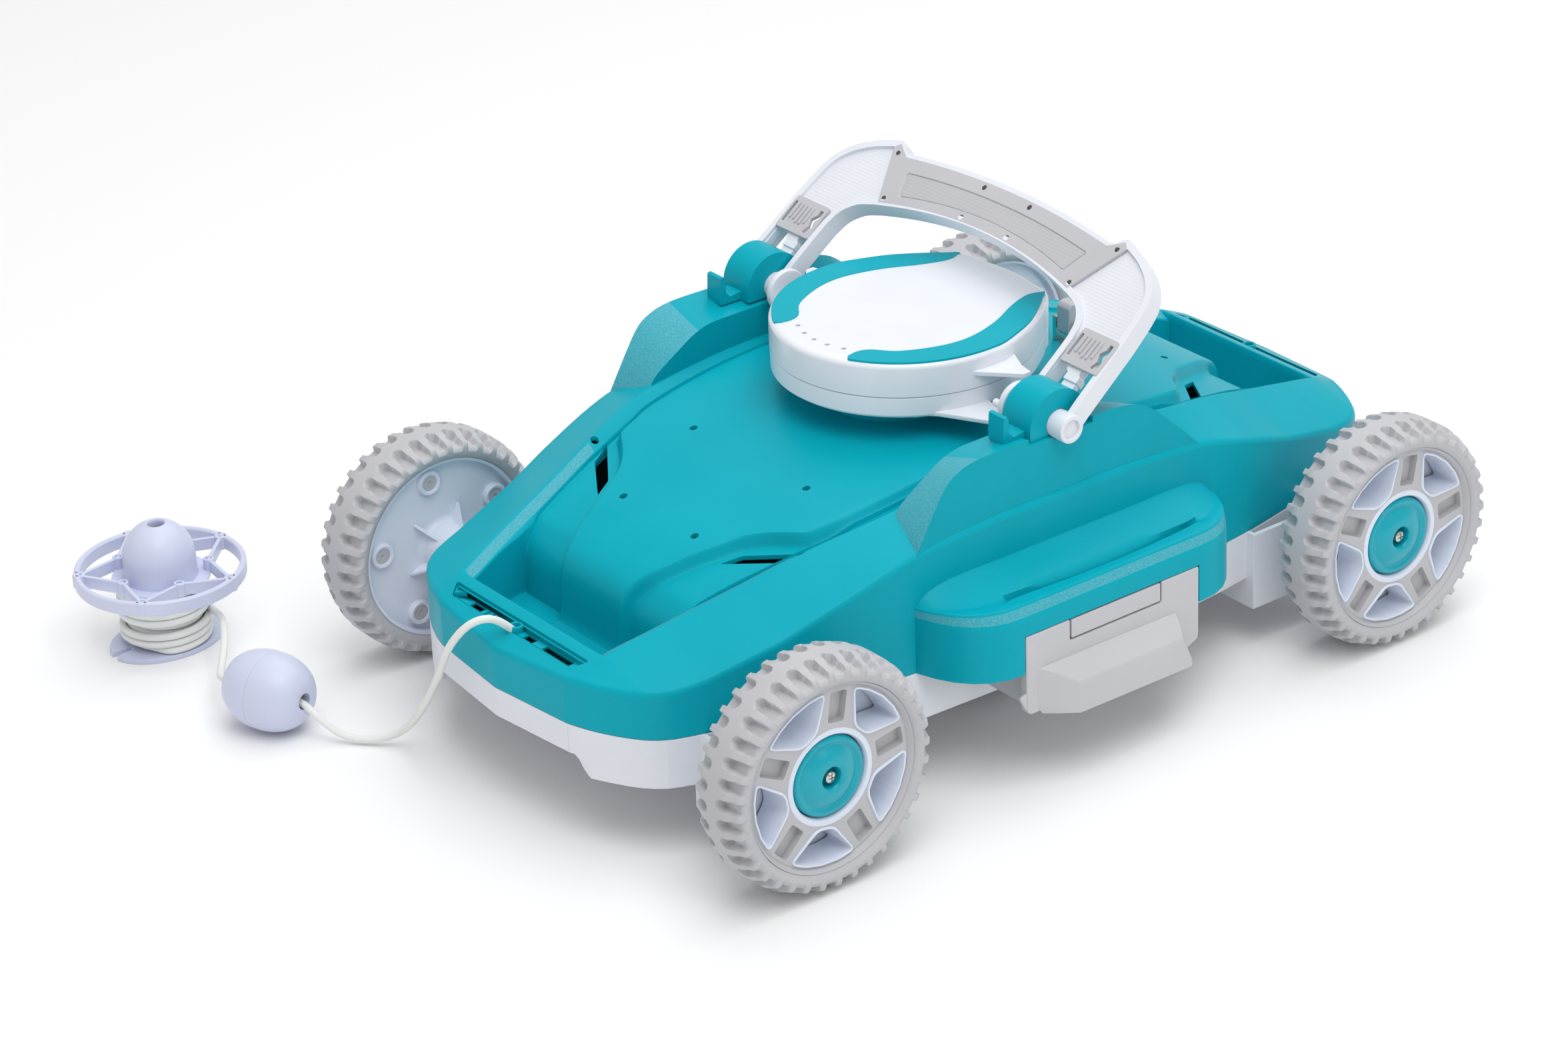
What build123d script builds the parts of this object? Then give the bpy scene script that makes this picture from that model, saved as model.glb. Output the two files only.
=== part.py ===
"""Cordless pool cleaner on four wheels, with a swinging arch, a pump head and a float cord.

Millimetres, +Z up, ground at z = 0.  X runs across the cleaner, Y along it, and the end
with the cord slot faces -Y.  The origin is on the ground midway between the four wheels.
"""
from build123d import *
from math import cos, radians, sin, tan
import os

os.makedirs("parts", exist_ok=True)

# ---------------------------------------------------------------- driving dimensions
WALL = 2.5                 # moulded wall
WHEEL_R = 62.0             # tyre radius, and height of the axles
WHEEL_W = 35.0             # tyre width
TRACK_X = 163.6            # wheel mid-plane from the centre line
AXLE_Y = 189.4             # axle from the middle, to each end
AXLE_R = 4.0
RUN_FIT = 0.08             # radial clearance of a running fit
SEAM_Z = 65.0              # joint between the top shell and the bottom pan
PAN_Z = 38.0               # underside of the pan
PAN_LIP_Z = 49.0           # raised underside at the two ends
BOX_Z = 21.5               # underside of the axle boxes
BOX_X, BOX_Y = 129.5, 130.0
RECESS_FRONT_Y = 237.0     # ends of the sunk deck
POCKET_Z = 72.0            # floor of the end pockets
FIN_X0, FIN_X1 = 101.5, 127.5
SADDLE_Z = 165.0
PIVOT_Z = 170.5            # swing axis of the arch
PIVOT_R = 7.5
ARCH_TILT = 37.09          # slope of the resting arch
HEAD_Z0, HEAD_SEAM_Z, HEAD_Z1 = 160.0, 172.0, 190.5
HEAD_R = 70.0
POD_Y0, POD_Y1 = -98.0, 102.0
POD_X = 165.0              # outer face of the side pods
DOOR_Y0, DOOR_Y1 = -57.0, 59.0
DOOR_Z0, DOOR_Z1 = 41.0, 86.0
CORD_R = 2.0
REEL_X, REEL_Y = -262.0, -299.0
FLOAT_AT = Vector(-143, -308, 21.3)
FLOAT_AXIS = Vector(0.95, 0.30, 0).normalized()
FLOAT_LENGTH, FLOAT_R, FLOAT_BORE = 48.0, 21.0, 4.4

# front right quarter of the body's plan, from the nose round to the side
PLAN = [(0, -262), (54.5, -256.5), (63, -254.2), (70.5, -251), (78, -247.3), (85, -243.5),
        (91, -239.5), (96, -235), (100, -230), (103, -224), (105.5, -217), (107.5, -209),
        (111.5, -192), (114.8, -177), (118, -162), (121.4, -144.5), (124.5, -127), (127, -108),
        (128.5, -90), (130, -50)]
# top of the body at y: (y, half width of the sunk deck, height there, outward fall)
CROWN = [(-264, 60, 86.2, 0.20), (-237, 61.1, 98.4, 0.24), (-208, 69, 107.8, 0.36),
         (-168, 79.6, 119.7, 0.41), (-134.3, 88.7, 130, 0.38), (-94, 98, 139, 0.30),
         (0, 101.5, 146, 0.43)]
RECESS_PLAN = [(61.1, -RECESS_FRONT_Y), (88.7, -134.3), (99.0, -82), (101.5, 0)]
# height of the sunk deck along its length, from the pocket to the middle
DECK = [(-RECESS_FRONT_Y, POCKET_Z), (-199, POCKET_Z), (-197.5, 98), (-193, 104), (-184, 109),
        (-157, 118), (-99, 131.5), (-60, 137.5), (0, 141)]
# raised centre panel: front right quarter of its plan, and its height
PANEL_PLAN = [(26, -203), (27, -196), (33, -184), (40, -168), (47, -154), (51.5, -145),
              (61, -135), (76, -125), (91, -115), (95, -108), (98, 0)]
PANEL_TOP = [(-203, POCKET_Z), (-201, 98), (-197.5, 106.5), (-192, 111.5), (-184, 116),
             (-157, 125), (-128, 132.5), (-99, 138.5), (-60, 144.5), (-30, 147), (0, 148)]
FIN = [(-100, 118), (-94, 129.6), (-84, 146.4), (-76, 158), (-68, 165), (-58, 167.6),
       (-42, 168), (38, 168), (50, 165.6), (60, 160.4), (75.8, 146.5), (94.6, 128.3),
       (102, 118)]


def save(piece, name):
    """Name a finished piece and write it."""
    piece.label = name
    export_step(piece, f"parts/{name}.step")


def four_way(quarter):
    """Closed outline from its front right quarter, mirrored across X and Y."""
    rear = [(x, -y) for x, y in reversed(quarter) if y != 0]
    right = quarter + rear
    left = [(-x, y) for x, y in reversed(right) if x != 0]
    return right + left


def crosswise(x, y, z):
    """Plane facing +X through a point, with Y to its right and Z up."""
    return Plane(origin=(x, y, z), x_dir=(0, 1, 0), z_dir=(1, 0, 0))


def prism(outline, z0, z1, inset=0.0):
    """Upright prism of a closed XY outline, optionally drawn in by a wall."""
    with BuildPart() as made:
        with BuildSketch(Plane.XY.offset(z0)):
            with BuildLine():
                Polyline(*outline, close=True)
            make_face()
            if inset:
                offset(amount=-inset, kind=Kind.INTERSECTION, mode=Mode.REPLACE)
        extrude(amount=z1 - z0)
    return made.part


def side_prism(outline, x0, x1):
    """Prism of a closed YZ outline between two X positions."""
    with BuildPart() as made:
        with BuildSketch(Plane.YZ.offset(x0)):
            with BuildLine():
                Polyline(*outline, close=True)
            make_face()
        extrude(amount=x1 - x0)
    return made.part


def front_prism(outline, y0, y1):
    """Prism of a closed XZ outline between two Y positions."""
    with BuildPart() as made:
        with BuildSketch(Plane.XZ.offset(-y1)):
            with BuildLine():
                Polyline(*outline, close=True)
            make_face()
        extrude(amount=y1 - y0)
    return made.part


def box(x0, x1, y0, y1, z0, z1):
    """Box between two corners."""
    with BuildPart() as made:
        with Locations(((x0 + x1) / 2, (y0 + y1) / 2, (z0 + z1) / 2)):
            Box(x1 - x0, y1 - y0, z1 - z0)
    return made.part


def rod(plane, radius, length, bore=0.0):
    """Round bar along a plane's normal, with an optional bore."""
    with BuildPart() as made:
        with BuildSketch(plane):
            Circle(radius)
            if bore:
                Circle(bore, mode=Mode.SUBTRACT)
        extrude(amount=length)
    return made.part


def flipped(piece):
    """The left-hand twin of a right-hand piece."""
    return mirror(piece, about=Plane.YZ)


# ---------------------------------------------------------------- top shell
def crown(drop):
    """Block under the body's curved top, lowered by a wall thickness."""
    reach = 145.0
    stations = CROWN + [(-y, half, z, fall) for y, half, z, fall in reversed(CROWN[:-1])]
    with BuildPart() as made:
        for y, half, z, fall in stations:
            edge = z - fall * (reach - half)
            with BuildSketch(Plane.XZ.offset(-y)):
                with BuildLine():
                    Polyline((-reach, 20), (reach, 20), (reach, edge - drop),
                             (half, z - drop), (-half, z - drop), (-reach, edge - drop),
                             close=True)
                make_face()
        loft(ruled=True)
    return made.part


def recess(plan, profile, grow, drop):
    """Space above the sunk deck, grown by a wall for the shell's inner side."""
    rear = [(-y, z) for y, z in reversed(profile[:-1])]
    line = [(y, z - drop) for y, z in profile + rear]
    end = line[-1][0] + grow
    trough = side_prism([(-end, 260), (-end, line[0][1])] + line[1:-1]
                        + [(end, line[-1][1]), (end, 260)], -120, 120)
    return trough & prism(four_way(plan), 20, 280, -grow)


def raised_panel(drop):
    """Centre panel of the deck, higher than the channels beside it."""
    rear = [(-y, z) for y, z in reversed(PANEL_TOP[:-1])]
    top = [(y, z - drop) for y, z in PANEL_TOP + rear]
    slab = side_prism(top + [(-top[0][0], 20), (top[0][0], 20)], -100, 100)
    return slab & prism(four_way(PANEL_PLAN), 20, 200, drop)


def pod(wall, z0):
    """Side pod between the wheels, solid for wall 0 and its hollow otherwise."""
    section = [(118, z0), (POD_X - wall, z0), (POD_X - wall, 93 - wall), (160 - wall, 98 - wall),
               (152, 103.5 - wall), (149, 103.5 - wall), (131, 111 - wall), (118, 114 - wall)]
    plan = [(118, POD_Y0 + wall), (131, POD_Y0 + 2 + wall), (145, POD_Y0 + 8 + wall),
            (158 - wall, POD_Y0 + 17 + wall), (POD_X - wall, POD_Y0 + 29),
            (POD_X - wall, POD_Y1 - 29), (158 - wall, POD_Y1 - 17 - wall),
            (145, POD_Y1 - 8 - wall), (131, POD_Y1 - 2 - wall), (118, POD_Y1 - wall)]
    return front_prism(section, POD_Y0, POD_Y1) & prism(plan, 20, 140)


deck_space = recess(RECESS_PLAN, DECK, 0, 0)
deck_space_inner = recess(RECESS_PLAN, DECK, WALL, WALL)
fin_hollow = [(-92, 110), (-82, 138), (-74, 151), (-60, 160), (48, 160), (58, 155.5), (72, 143),
              (88, 127), (92, 110)]
with BuildPart() as top_shell:
    add(crown(0) & prism(four_way(PLAN), SEAM_Z, 260))
    add(pod(0, SEAM_Z))
    add(flipped(pod(0, SEAM_Z)))
    add(deck_space, mode=Mode.SUBTRACT)
    add(raised_panel(0))
    right_fin = side_prism(FIN, FIN_X0, FIN_X1)
    add(right_fin)
    add(flipped(right_fin))
    hollow = crown(WALL) & prism(four_way(PLAN), 20, 250, WALL)
    hollow = hollow + pod(WALL, 20) + flipped(pod(WALL, 20))
    hollow = hollow - deck_space_inner + raised_panel(WALL)
    fin_core = side_prism(fin_hollow, FIN_X0 + WALL, FIN_X1 - WALL)
    hollow = hollow + fin_core + flipped(fin_core)
    add(hollow, mode=Mode.SUBTRACT)
    # saddles of the arch's pivots
    for side in (1, -1):
        add(box(min(side * 98, side * 130), max(side * 98, side * 130), -22, 22, SADDLE_Z, 175),
            mode=Mode.SUBTRACT)
    add(rod(crosswise(-140, 0, PIVOT_Z), PIVOT_R + 0.3, 280),
        mode=Mode.SUBTRACT)
    # door openings, drawer ways and axle notches
    for side in (1, -1):
        lo, hi = sorted((side * 120, side * 170))
        add(box(lo, hi, DOOR_Y0, DOOR_Y1, 20, DOOR_Z1), mode=Mode.SUBTRACT)
    for y in (-AXLE_Y, AXLE_Y):
        add(rod(crosswise(-140, y, WHEEL_R), AXLE_R + 1, 280),
            mode=Mode.SUBTRACT)
    # neck opening, cord slot and cord hole
    with Locations((0, 0, 140)):
        Cylinder(34, 60, mode=Mode.SUBTRACT)
    for y in (-246, 246):
        add(box(-55, 55, y - 3.2, y + 3.2, 89, 110), mode=Mode.SUBTRACT)
    with Locations((0, -246, 84)):
        Cylinder(CORD_R + 1.2, 20, mode=Mode.SUBTRACT)
    add(box(-4.5, 4.5, -254, -246, 89, 110), mode=Mode.SUBTRACT)
save(top_shell.part, "top_shell")


# ---------------------------------------------------------------- bottom pan
LIP = [(-66, 10), (66, 10), (66, 43), (58, PAN_LIP_Z), (-58, PAN_LIP_Z), (-66, 43)]
LIP_INNER = [(-68.5, 10), (68.5, 10), (68.5, 44), (60, PAN_LIP_Z + WALL),
             (-60, PAN_LIP_Z + WALL), (-68.5, 44)]
MOUTH_X, MOUTH_Y, MOUTH_Z = 82.0, 24.0, 14.0
PAN_SCREWS = [(x, y) for x in (-86, 86) for y in (-150, -60, 60, 150)]
with BuildPart() as bottom_pan:
    add(prism(four_way(PLAN), PAN_Z, SEAM_Z))
    lips = front_prism(LIP, 200, 270) + front_prism(LIP, -270, -200)
    lips_inner = front_prism(LIP_INNER, 197.5, 270) + front_prism(LIP_INNER, -270, -197.5)
    add(lips, mode=Mode.SUBTRACT)
    for x in (-BOX_X, BOX_X - 30):
        for y in (-BOX_Y - 84, BOX_Y):
            add(box(x, x + 30, y, y + 84, BOX_Z, SEAM_Z))
    add(box(-MOUTH_X, MOUTH_X, -MOUTH_Y, MOUTH_Y, MOUTH_Z, PAN_Z + WALL))
    tray = prism(four_way(PLAN), PAN_Z + WALL, SEAM_Z + 5, WALL) - lips_inner
    add(tray, mode=Mode.SUBTRACT)
    for x in (-BOX_X + WALL, BOX_X - 30 + WALL):
        for y in (-BOX_Y - 84 + WALL, BOX_Y + WALL):
            add(box(x, x + 25, y, y + 79, BOX_Z + WALL, SEAM_Z), mode=Mode.SUBTRACT)
    add(box(-MOUTH_X + WALL, MOUTH_X - WALL, -MOUTH_Y + WALL, MOUTH_Y - WALL, 0, 80),
        mode=Mode.SUBTRACT)
    for side in (1, -1):
        lo, hi = sorted((side * 110, side * 140))
        add(box(lo, hi, DOOR_Y0 - 1, DOOR_Y1 + 1, PAN_Z + WALL, SEAM_Z), mode=Mode.SUBTRACT)
    for y in (-AXLE_Y, AXLE_Y):
        axle_line = crosswise(-135, y, WHEEL_R)
        add(rod(axle_line, AXLE_R, 270), mode=Mode.SUBTRACT)
    # seats of the pan screws
    with Locations(*[(x, y, PAN_Z) for x, y in PAN_SCREWS]):
        Cylinder(3.5, 3.6, mode=Mode.SUBTRACT)
save(bottom_pan.part, "bottom_pan")

# stub axles, pressed into the outer walls of the axle boxes
for name, y in (("front_axle_stubs", -AXLE_Y), ("rear_axle_stubs", AXLE_Y)):
    with BuildPart() as stubs:
        for x0 in (108, -169):
            with BuildSketch(crosswise(x0, y, WHEEL_R)):
                Circle(AXLE_R)
            extrude(amount=61)
        for x0 in (121, -127):
            with BuildSketch(crosswise(x0, y, WHEEL_R)):
                Circle(AXLE_R + 3)
            extrude(amount=6)
        # threaded hole for the wheel screw
        for x0 in (160, -180):
            with BuildSketch(crosswise(x0, y, WHEEL_R)):
                Circle(1.5)
            extrude(amount=20, mode=Mode.SUBTRACT)
    save(stubs.part, name)

# ---------------------------------------------------------------- wheels
LIP_R = 49.6               # rim edge
CAP_R = 21.7               # hub cap
FACE_X = 12.0              # rim face from the wheel's mid-plane
TREAD = [(WHEEL_R, -7), (WHEEL_R - 3, -WHEEL_W / 2 + 2.5), (WHEEL_R - 6, -WHEEL_W / 2),
         (LIP_R, -WHEEL_W / 2), (LIP_R, WHEEL_W / 2), (WHEEL_R - 6, WHEEL_W / 2),
         (WHEEL_R - 3, WHEEL_W / 2 - 2.5), (WHEEL_R, 7)]
RIM = [(AXLE_R + RUN_FIT, -30), (13, -30), (14, -12), (LIP_R - 2, -11), (LIP_R - 2, -15),
       (LIP_R, -15), (LIP_R, 15), (LIP_R - 3, 15), (LIP_R - 5, FACE_X), (CAP_R + 3, FACE_X),
       (CAP_R + 1, 9), (CAP_R + 1, 6), (AXLE_R + RUN_FIT, 6)]


def hub_plane(side, y):
    """Wheel plane at an axle, with its normal pointing away from the body."""
    return Plane(origin=(side * TRACK_X, y, WHEEL_R), x_dir=(0, side, 0), z_dir=(side, 0, 0))


def cup_outline():
    """Triangular cup between two spokes, in the wheel's plane."""
    inner, outer, half = CAP_R + 6, LIP_R - 5, radians(26)
    return [(inner, 0), (outer * cos(half), -outer * sin(half)), (outer * 1.0, 0),
            (outer * cos(half), outer * sin(half))]


for corner, side, y in (("front_right", 1, -AXLE_Y), ("front_left", -1, -AXLE_Y),
                        ("rear_right", 1, AXLE_Y), ("rear_left", -1, AXLE_Y)):
    hub = hub_plane(side, y)
    across = Plane(origin=hub.origin, x_dir=hub.x_dir, z_dir=hub.x_dir.cross(hub.z_dir))
    with BuildPart() as tyre:
        with BuildSketch(across):
            with BuildLine():
                Polyline(*TREAD, close=True)
            make_face()
        revolve(axis=Axis(hub.origin, hub.z_dir))
    save(tyre.part, f"tyre_{corner}")
    with BuildPart() as rim:
        with BuildSketch(across):
            with BuildLine():
                Polyline(*RIM, close=True)
            make_face()
        revolve(axis=Axis(hub.origin, hub.z_dir))
        # five open cups between the spokes
        with BuildSketch(hub.offset(-8)):
            with PolarLocations(0.001, 5, start_angle=45):
                Polygon(*cup_outline(), align=None)
        extrude(amount=30, mode=Mode.SUBTRACT)
    save(rim.part, f"rim_{corner}")
    with BuildPart() as cap:
        with BuildSketch(across):
            with BuildLine():
                Polyline((1.8, 6), (CAP_R, 6), (CAP_R, 10), (CAP_R - 4, 12.5), (8, 13.6),
                         (6, 12), (1.8, 12), close=True)
            make_face()
        revolve(axis=Axis(hub.origin, hub.z_dir))
    save(cap.part, f"hub_cap_{corner}")

with BuildPart() as wheel_screws:
    for side in (1, -1):
        for y in (-AXLE_Y, AXLE_Y):
            hub = hub_plane(side, y)
            with BuildSketch(hub.offset(-2)):
                Circle(1.5)
            extrude(amount=14.1)
            with BuildSketch(hub.offset(12.1)):
                Circle(3.3)
            extrude(amount=2)
            with BuildSketch(hub.offset(12.9)):
                Rectangle(4, 0.8)
                Rectangle(0.8, 4)
            extrude(amount=4, mode=Mode.SUBTRACT)
save(wheel_screws.part, "wheel_screws")

# ---------------------------------------------------------------- pump head
# right side of the head's plan: point and outward direction
HEAD_SIDE = [((HEAD_R, 3), (1, 0)), ((65, 27), (0.93, 0.37)), ((50, 54), (0.8, 0.6)),
             ((32, 73), (0.7, 0.71))]
HEAD_FRONT_Y, HEAD_REAR_Y = -66.0, 77.5


def head_block(z0, z1, inset=0.0):
    """Slab of the head's plan: round in front, drawn in to a blunt tail."""
    side = [(x - inset * nx, y - inset * ny) for (x, y), (nx, ny) in HEAD_SIDE]
    with BuildPart() as made:
        with BuildSketch(Plane.XY.offset(z0)):
            with BuildLine():
                ThreePointArc((-side[0][0], side[0][1]), (0, HEAD_FRONT_Y + inset), side[0])
                Spline(*side, tangents=[(0, 1), (-0.7, 0.71)])
                ThreePointArc(side[-1], (0, HEAD_REAR_Y - inset), (-side[-1][0], side[-1][1]))
                Spline(*[(-x, y) for x, y in reversed(side)], tangents=[(-0.7, -0.71), (0, -1)])
            make_face()
        extrude(amount=z1 - z0)
    return made.part


def ear(z0, z1, root, tip):
    """Pointed lug on the side of the head."""
    outline = [(HEAD_R - 8, root[0]), (tip[0], tip[1] - 4), (tip[0], tip[1] + 4),
               (HEAD_R - 8, root[1])]
    return prism(outline, z0, z1)


lower_ear = ear(HEAD_Z0, HEAD_Z0 + 4, (-24, -4), (88, -5))
upper_ear = ear(179, 182, (-6, 12), (88, 12))
with BuildPart() as head_base:
    add(head_block(HEAD_Z0, HEAD_SEAM_Z))
    add(lower_ear)
    add(flipped(lower_ear))
    add(head_block(HEAD_Z0 + WALL, HEAD_SEAM_Z, WALL), mode=Mode.SUBTRACT)
    with Locations((0, 0, HEAD_Z0)):
        Cylinder(19.5, 20, mode=Mode.SUBTRACT)
save(head_base.part, "head_base")

# coloured crescents let into the edge of the cover, flush with its top
TRIM_T = 1.2
TRIM_INNER = [(30, -42), (40.5, -32), (49.5, -13), (51.5, 5), (46, 26), (37, 44), (32.3, 56),
              (32, 70)]
with BuildPart() as head_trim:
    with BuildSketch(Plane.XY.offset(HEAD_Z1 - TRIM_T)):
        with BuildLine():
            Spline(*TRIM_INNER)
            Polyline(TRIM_INNER[-1], (80, 70), (80, -60), (28, -60), TRIM_INNER[0])
        make_face()
    extrude(amount=TRIM_T)
    add(head_block(HEAD_Z1 - 3, HEAD_Z1 + 5, 1.2), mode=Mode.INTERSECT)

with BuildPart() as head_cover:
    add(head_block(HEAD_SEAM_Z, HEAD_Z1))
    add(upper_ear)
    add(flipped(upper_ear))
    add(head_block(HEAD_SEAM_Z, HEAD_Z1 - WALL, WALL), mode=Mode.SUBTRACT)
    # row of vent holes at the front
    with Locations(*[(x, -53, HEAD_Z1) for x in (-19, -9.5, 0, 9.5, 19)]):
        Cylinder(1.3, 3, mode=Mode.SUBTRACT)
    add(head_trim.part, mode=Mode.SUBTRACT)
    add(flipped(head_trim.part), mode=Mode.SUBTRACT)
save(head_cover.part, "head_cover")
save(head_trim.part, "head_trim_right")
save(flipped(head_trim.part), "head_trim_left")

with BuildPart() as head_screws:
    for x, y in ((-50, -30), (50, -30), (-50, 35), (50, 35), (-24, 64), (24, 64)):
        with Locations((x, y, HEAD_Z0 - 1.0)):
            Cylinder(3.2, 2.0)
save(head_screws.part, "head_screws")

with BuildPart() as neck_ring:
    with BuildSketch(Plane.XY.offset(140)):
        Circle(42)
        Circle(34.5, mode=Mode.SUBTRACT)
    extrude(amount=HEAD_Z0 - 142)
    with BuildSketch(Plane.XY.offset(HEAD_Z0 - 2)):
        Circle(42)
        Circle(19.5, mode=Mode.SUBTRACT)
    extrude(amount=2)
    add(raised_panel(0), mode=Mode.SUBTRACT)
save(neck_ring.part, "neck_ring")

# ---------------------------------------------------------------- motor, pump and battery
SHAFT_R = 2.5
with BuildPart() as motor:
    with BuildSketch(Plane.XY.offset(124)):
        Circle(18)
    extrude(amount=62)
    with BuildSketch(Plane.XY.offset(118)):
        Circle(8)
    extrude(amount=6)
    with Locations((0, 0, 140)):
        Cylinder(SHAFT_R + RUN_FIT, 60, mode=Mode.SUBTRACT)
save(motor.part, "motor_can")

with BuildPart() as shaft:
    with BuildSketch(Plane.XY.offset(96)):
        Circle(SHAFT_R)
    extrude(amount=70)
save(shaft.part, "motor_shaft")

with BuildPart() as shaft_seal:
    with BuildSketch(Plane.XY.offset(114)):
        Circle(7)
        Circle(SHAFT_R + RUN_FIT, mode=Mode.SUBTRACT)
    extrude(amount=4)
save(shaft_seal.part, "shaft_seal")

BLADES = 5
with BuildPart() as impeller:
    with BuildSketch(Plane.XY.offset(97)):
        Circle(7)
        Circle(SHAFT_R, mode=Mode.SUBTRACT)
    extrude(amount=15)
    with BuildSketch(Plane.XY.offset(110)):
        Circle(26)
        Circle(SHAFT_R, mode=Mode.SUBTRACT)
    extrude(amount=2)
    with BuildSketch(Plane.XY.offset(99)):
        with PolarLocations(15.5, BLADES):
            Rectangle(19, 2, rotation=25)
    extrude(amount=11)
save(impeller.part, "impeller")

with BuildPart() as pump_housing:
    with BuildSketch(Plane.XY.offset(92)):
        Circle(34)
        Circle(16, mode=Mode.SUBTRACT)
    extrude(amount=2.5)
    with BuildSketch(Plane.XY.offset(92)):
        Circle(34)
        Circle(31, mode=Mode.SUBTRACT)
    extrude(amount=57)
    with BuildSketch(Plane.XY.offset(119)):
        Circle(32)
        Circle(18.2, mode=Mode.SUBTRACT)
    extrude(amount=2.5)
    # outlets to the two ends
    with Locations((0, 0, 104.5)):
        Box(16, 80, 14, mode=Mode.SUBTRACT)
save(pump_housing.part, "pump_housing")

CELL_R, CELL_L = 9.2, 50.0
with BuildPart() as cells:
    for y in (-47, -28, 28):
        with BuildSketch(crosswise(-CELL_L / 2, y, 174.5)):
            Circle(CELL_R)
        extrude(amount=CELL_L)
save(cells.part, "battery_cells")

with BuildPart() as board:
    with BuildSketch(Plane.XY.offset(168)):
        with Locations((0, 56)):
            Rectangle(46, 22)
    extrude(amount=1.6)
    with Locations((-12, 56, 172.1), (10, 58, 171.6)):
        Box(12, 10, 5)
save(board.part, "control_board")

with BuildPart() as gasket:
    add(head_block(HEAD_SEAM_Z - 2, HEAD_SEAM_Z + 2, WALL))
    add(head_block(HEAD_SEAM_Z - 3, HEAD_SEAM_Z + 3, WALL + 2), mode=Mode.SUBTRACT)
save(gasket.part, "head_gasket")

# ---------------------------------------------------------------- pivot caps
with BuildPart() as pivot_cap:
    with BuildSketch(crosswise(103.5, 0, PIVOT_Z)):
        Circle(18.5)
        with Locations((0, -12)):
            Rectangle(37, 24)
    extrude(amount=22)
    # press tab at the front of the cap
    add(box(110, 121, -30, -17, SADDLE_Z, 170))
    add(box(110, 121, -32.5, -28.5, SADDLE_Z + 3.2, 182))
    add(box(100, 130, -40, 40, 120, SADDLE_Z), mode=Mode.SUBTRACT)
    add(box(100, 130, -50, -22, 120, SADDLE_Z + 3.2), mode=Mode.SUBTRACT)
    add(rod(crosswise(90, 0, PIVOT_Z), PIVOT_R + RUN_FIT, 60), mode=Mode.SUBTRACT)
save(pivot_cap.part, "pivot_cap_right")
save(flipped(pivot_cap.part), "pivot_cap_left")

# ---------------------------------------------------------------- swinging arch
# drawn on its upper face: x across the cleaner, s up the slope from the pivot axis
RISE = radians(ARCH_TILT)
FACE = Plane(origin=(0, 0, PIVOT_Z), x_dir=(1, 0, 0), z_dir=(0, -sin(RISE), cos(RISE)))
FACE_OFFSET = 2.3          # upper face of the web above the pivot axis
WEB_T, RAIL_T = 5.0, 9.0
OUTER = [(134, 0), (133, 12), (132, 54), (127, 81), (112, 93), (94, 101)]
CREST_S, INNER_S = 102.5, 73.4


def arch_outline():
    """Outline of the arch from one pivot over the crest to the other."""
    right = OUTER + [(80, 96.5)]
    inner = [(76, 62.5), (90, 56), (97, 43), (98, 12), (98, 0)]
    left = [(-x, s) for x, s in right]
    inner_left = [(-x, s) for x, s in inner]
    Polyline(inner[0], *inner[1:], right[0], right[1])
    Spline(right[1], *right[2:6])
    Line(right[5], right[6])
    ThreePointArc(right[6], (0, CREST_S), left[6])
    Line(left[6], left[5])
    Spline(*reversed(left[1:6]))
    Polyline(left[1], left[0], *reversed(inner_left))
    ThreePointArc(inner_left[0], (0, INNER_S), inner[0])


with BuildPart() as arch:
    with BuildSketch(FACE.offset(FACE_OFFSET - WEB_T)):
        with BuildLine():
            arch_outline()
        make_face()
    extrude(amount=WEB_T)
    # way of the sliding bolt down each arm
    with BuildSketch(FACE.offset(FACE_OFFSET - 20)):
        with Locations((115, 16.5), (-115, 16.5)):
            Rectangle(29, 59)
    extrude(amount=40, mode=Mode.SUBTRACT)
    # stiffening rails on both edges of the arms
    for x in (131, -131, 99.5, -99.5):
        wide = 6 if abs(x) > 120 else 3
        with BuildSketch(FACE.offset(FACE_OFFSET - RAIL_T)):
            with Locations((x, 26)):
                Rectangle(wide, 52)
        extrude(amount=RAIL_T)
    # hollow journals through the pivots, with their inner flanges
    for x0 in (97, -136):
        with BuildSketch(crosswise(x0, 0, PIVOT_Z)):
            Circle(PIVOT_R)
        extrude(amount=39)
    for x0 in (92, -97):
        with BuildSketch(crosswise(x0, 0, PIVOT_Z)):
            Circle(12)
        extrude(amount=5)
    for x0 in (116, -137):
        with BuildSketch(crosswise(x0, 0, PIVOT_Z)):
            Circle(5)
        extrude(amount=21, mode=Mode.SUBTRACT)
save(arch.part, "arch_frame")

# grip plate let into the crest of the arch
with BuildPart() as plate:
    with BuildSketch(FACE.offset(FACE_OFFSET)):
        with BuildLine():
            ThreePointArc((-78, 93.5), (0, 100.5), (78, 93.5))
            Polyline((78, 93.5), (80, 95), (93, 99), (76, 64))
            ThreePointArc((76, 64), (0, 74.6), (-76, 64))
            Polyline((-76, 64), (-93, 99), (-80, 95), (-78, 93.5))
        make_face()
    extrude(amount=1.8)
save(plate.part, "arch_grip_plate")

PLATE_SCREWS = [(87.4, 94.4), (74.5, 67.5), (18, 97.2), (18.2, 76.5)]
with BuildPart() as plate_screws:
    with BuildSketch(FACE.offset(FACE_OFFSET + 1.8)):
        with Locations(*PLATE_SCREWS, *[(-x, s) for x, s in PLATE_SCREWS]):
            Circle(1.5)
    extrude(amount=0.5)
save(plate_screws.part, "grip_plate_screws")

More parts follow.
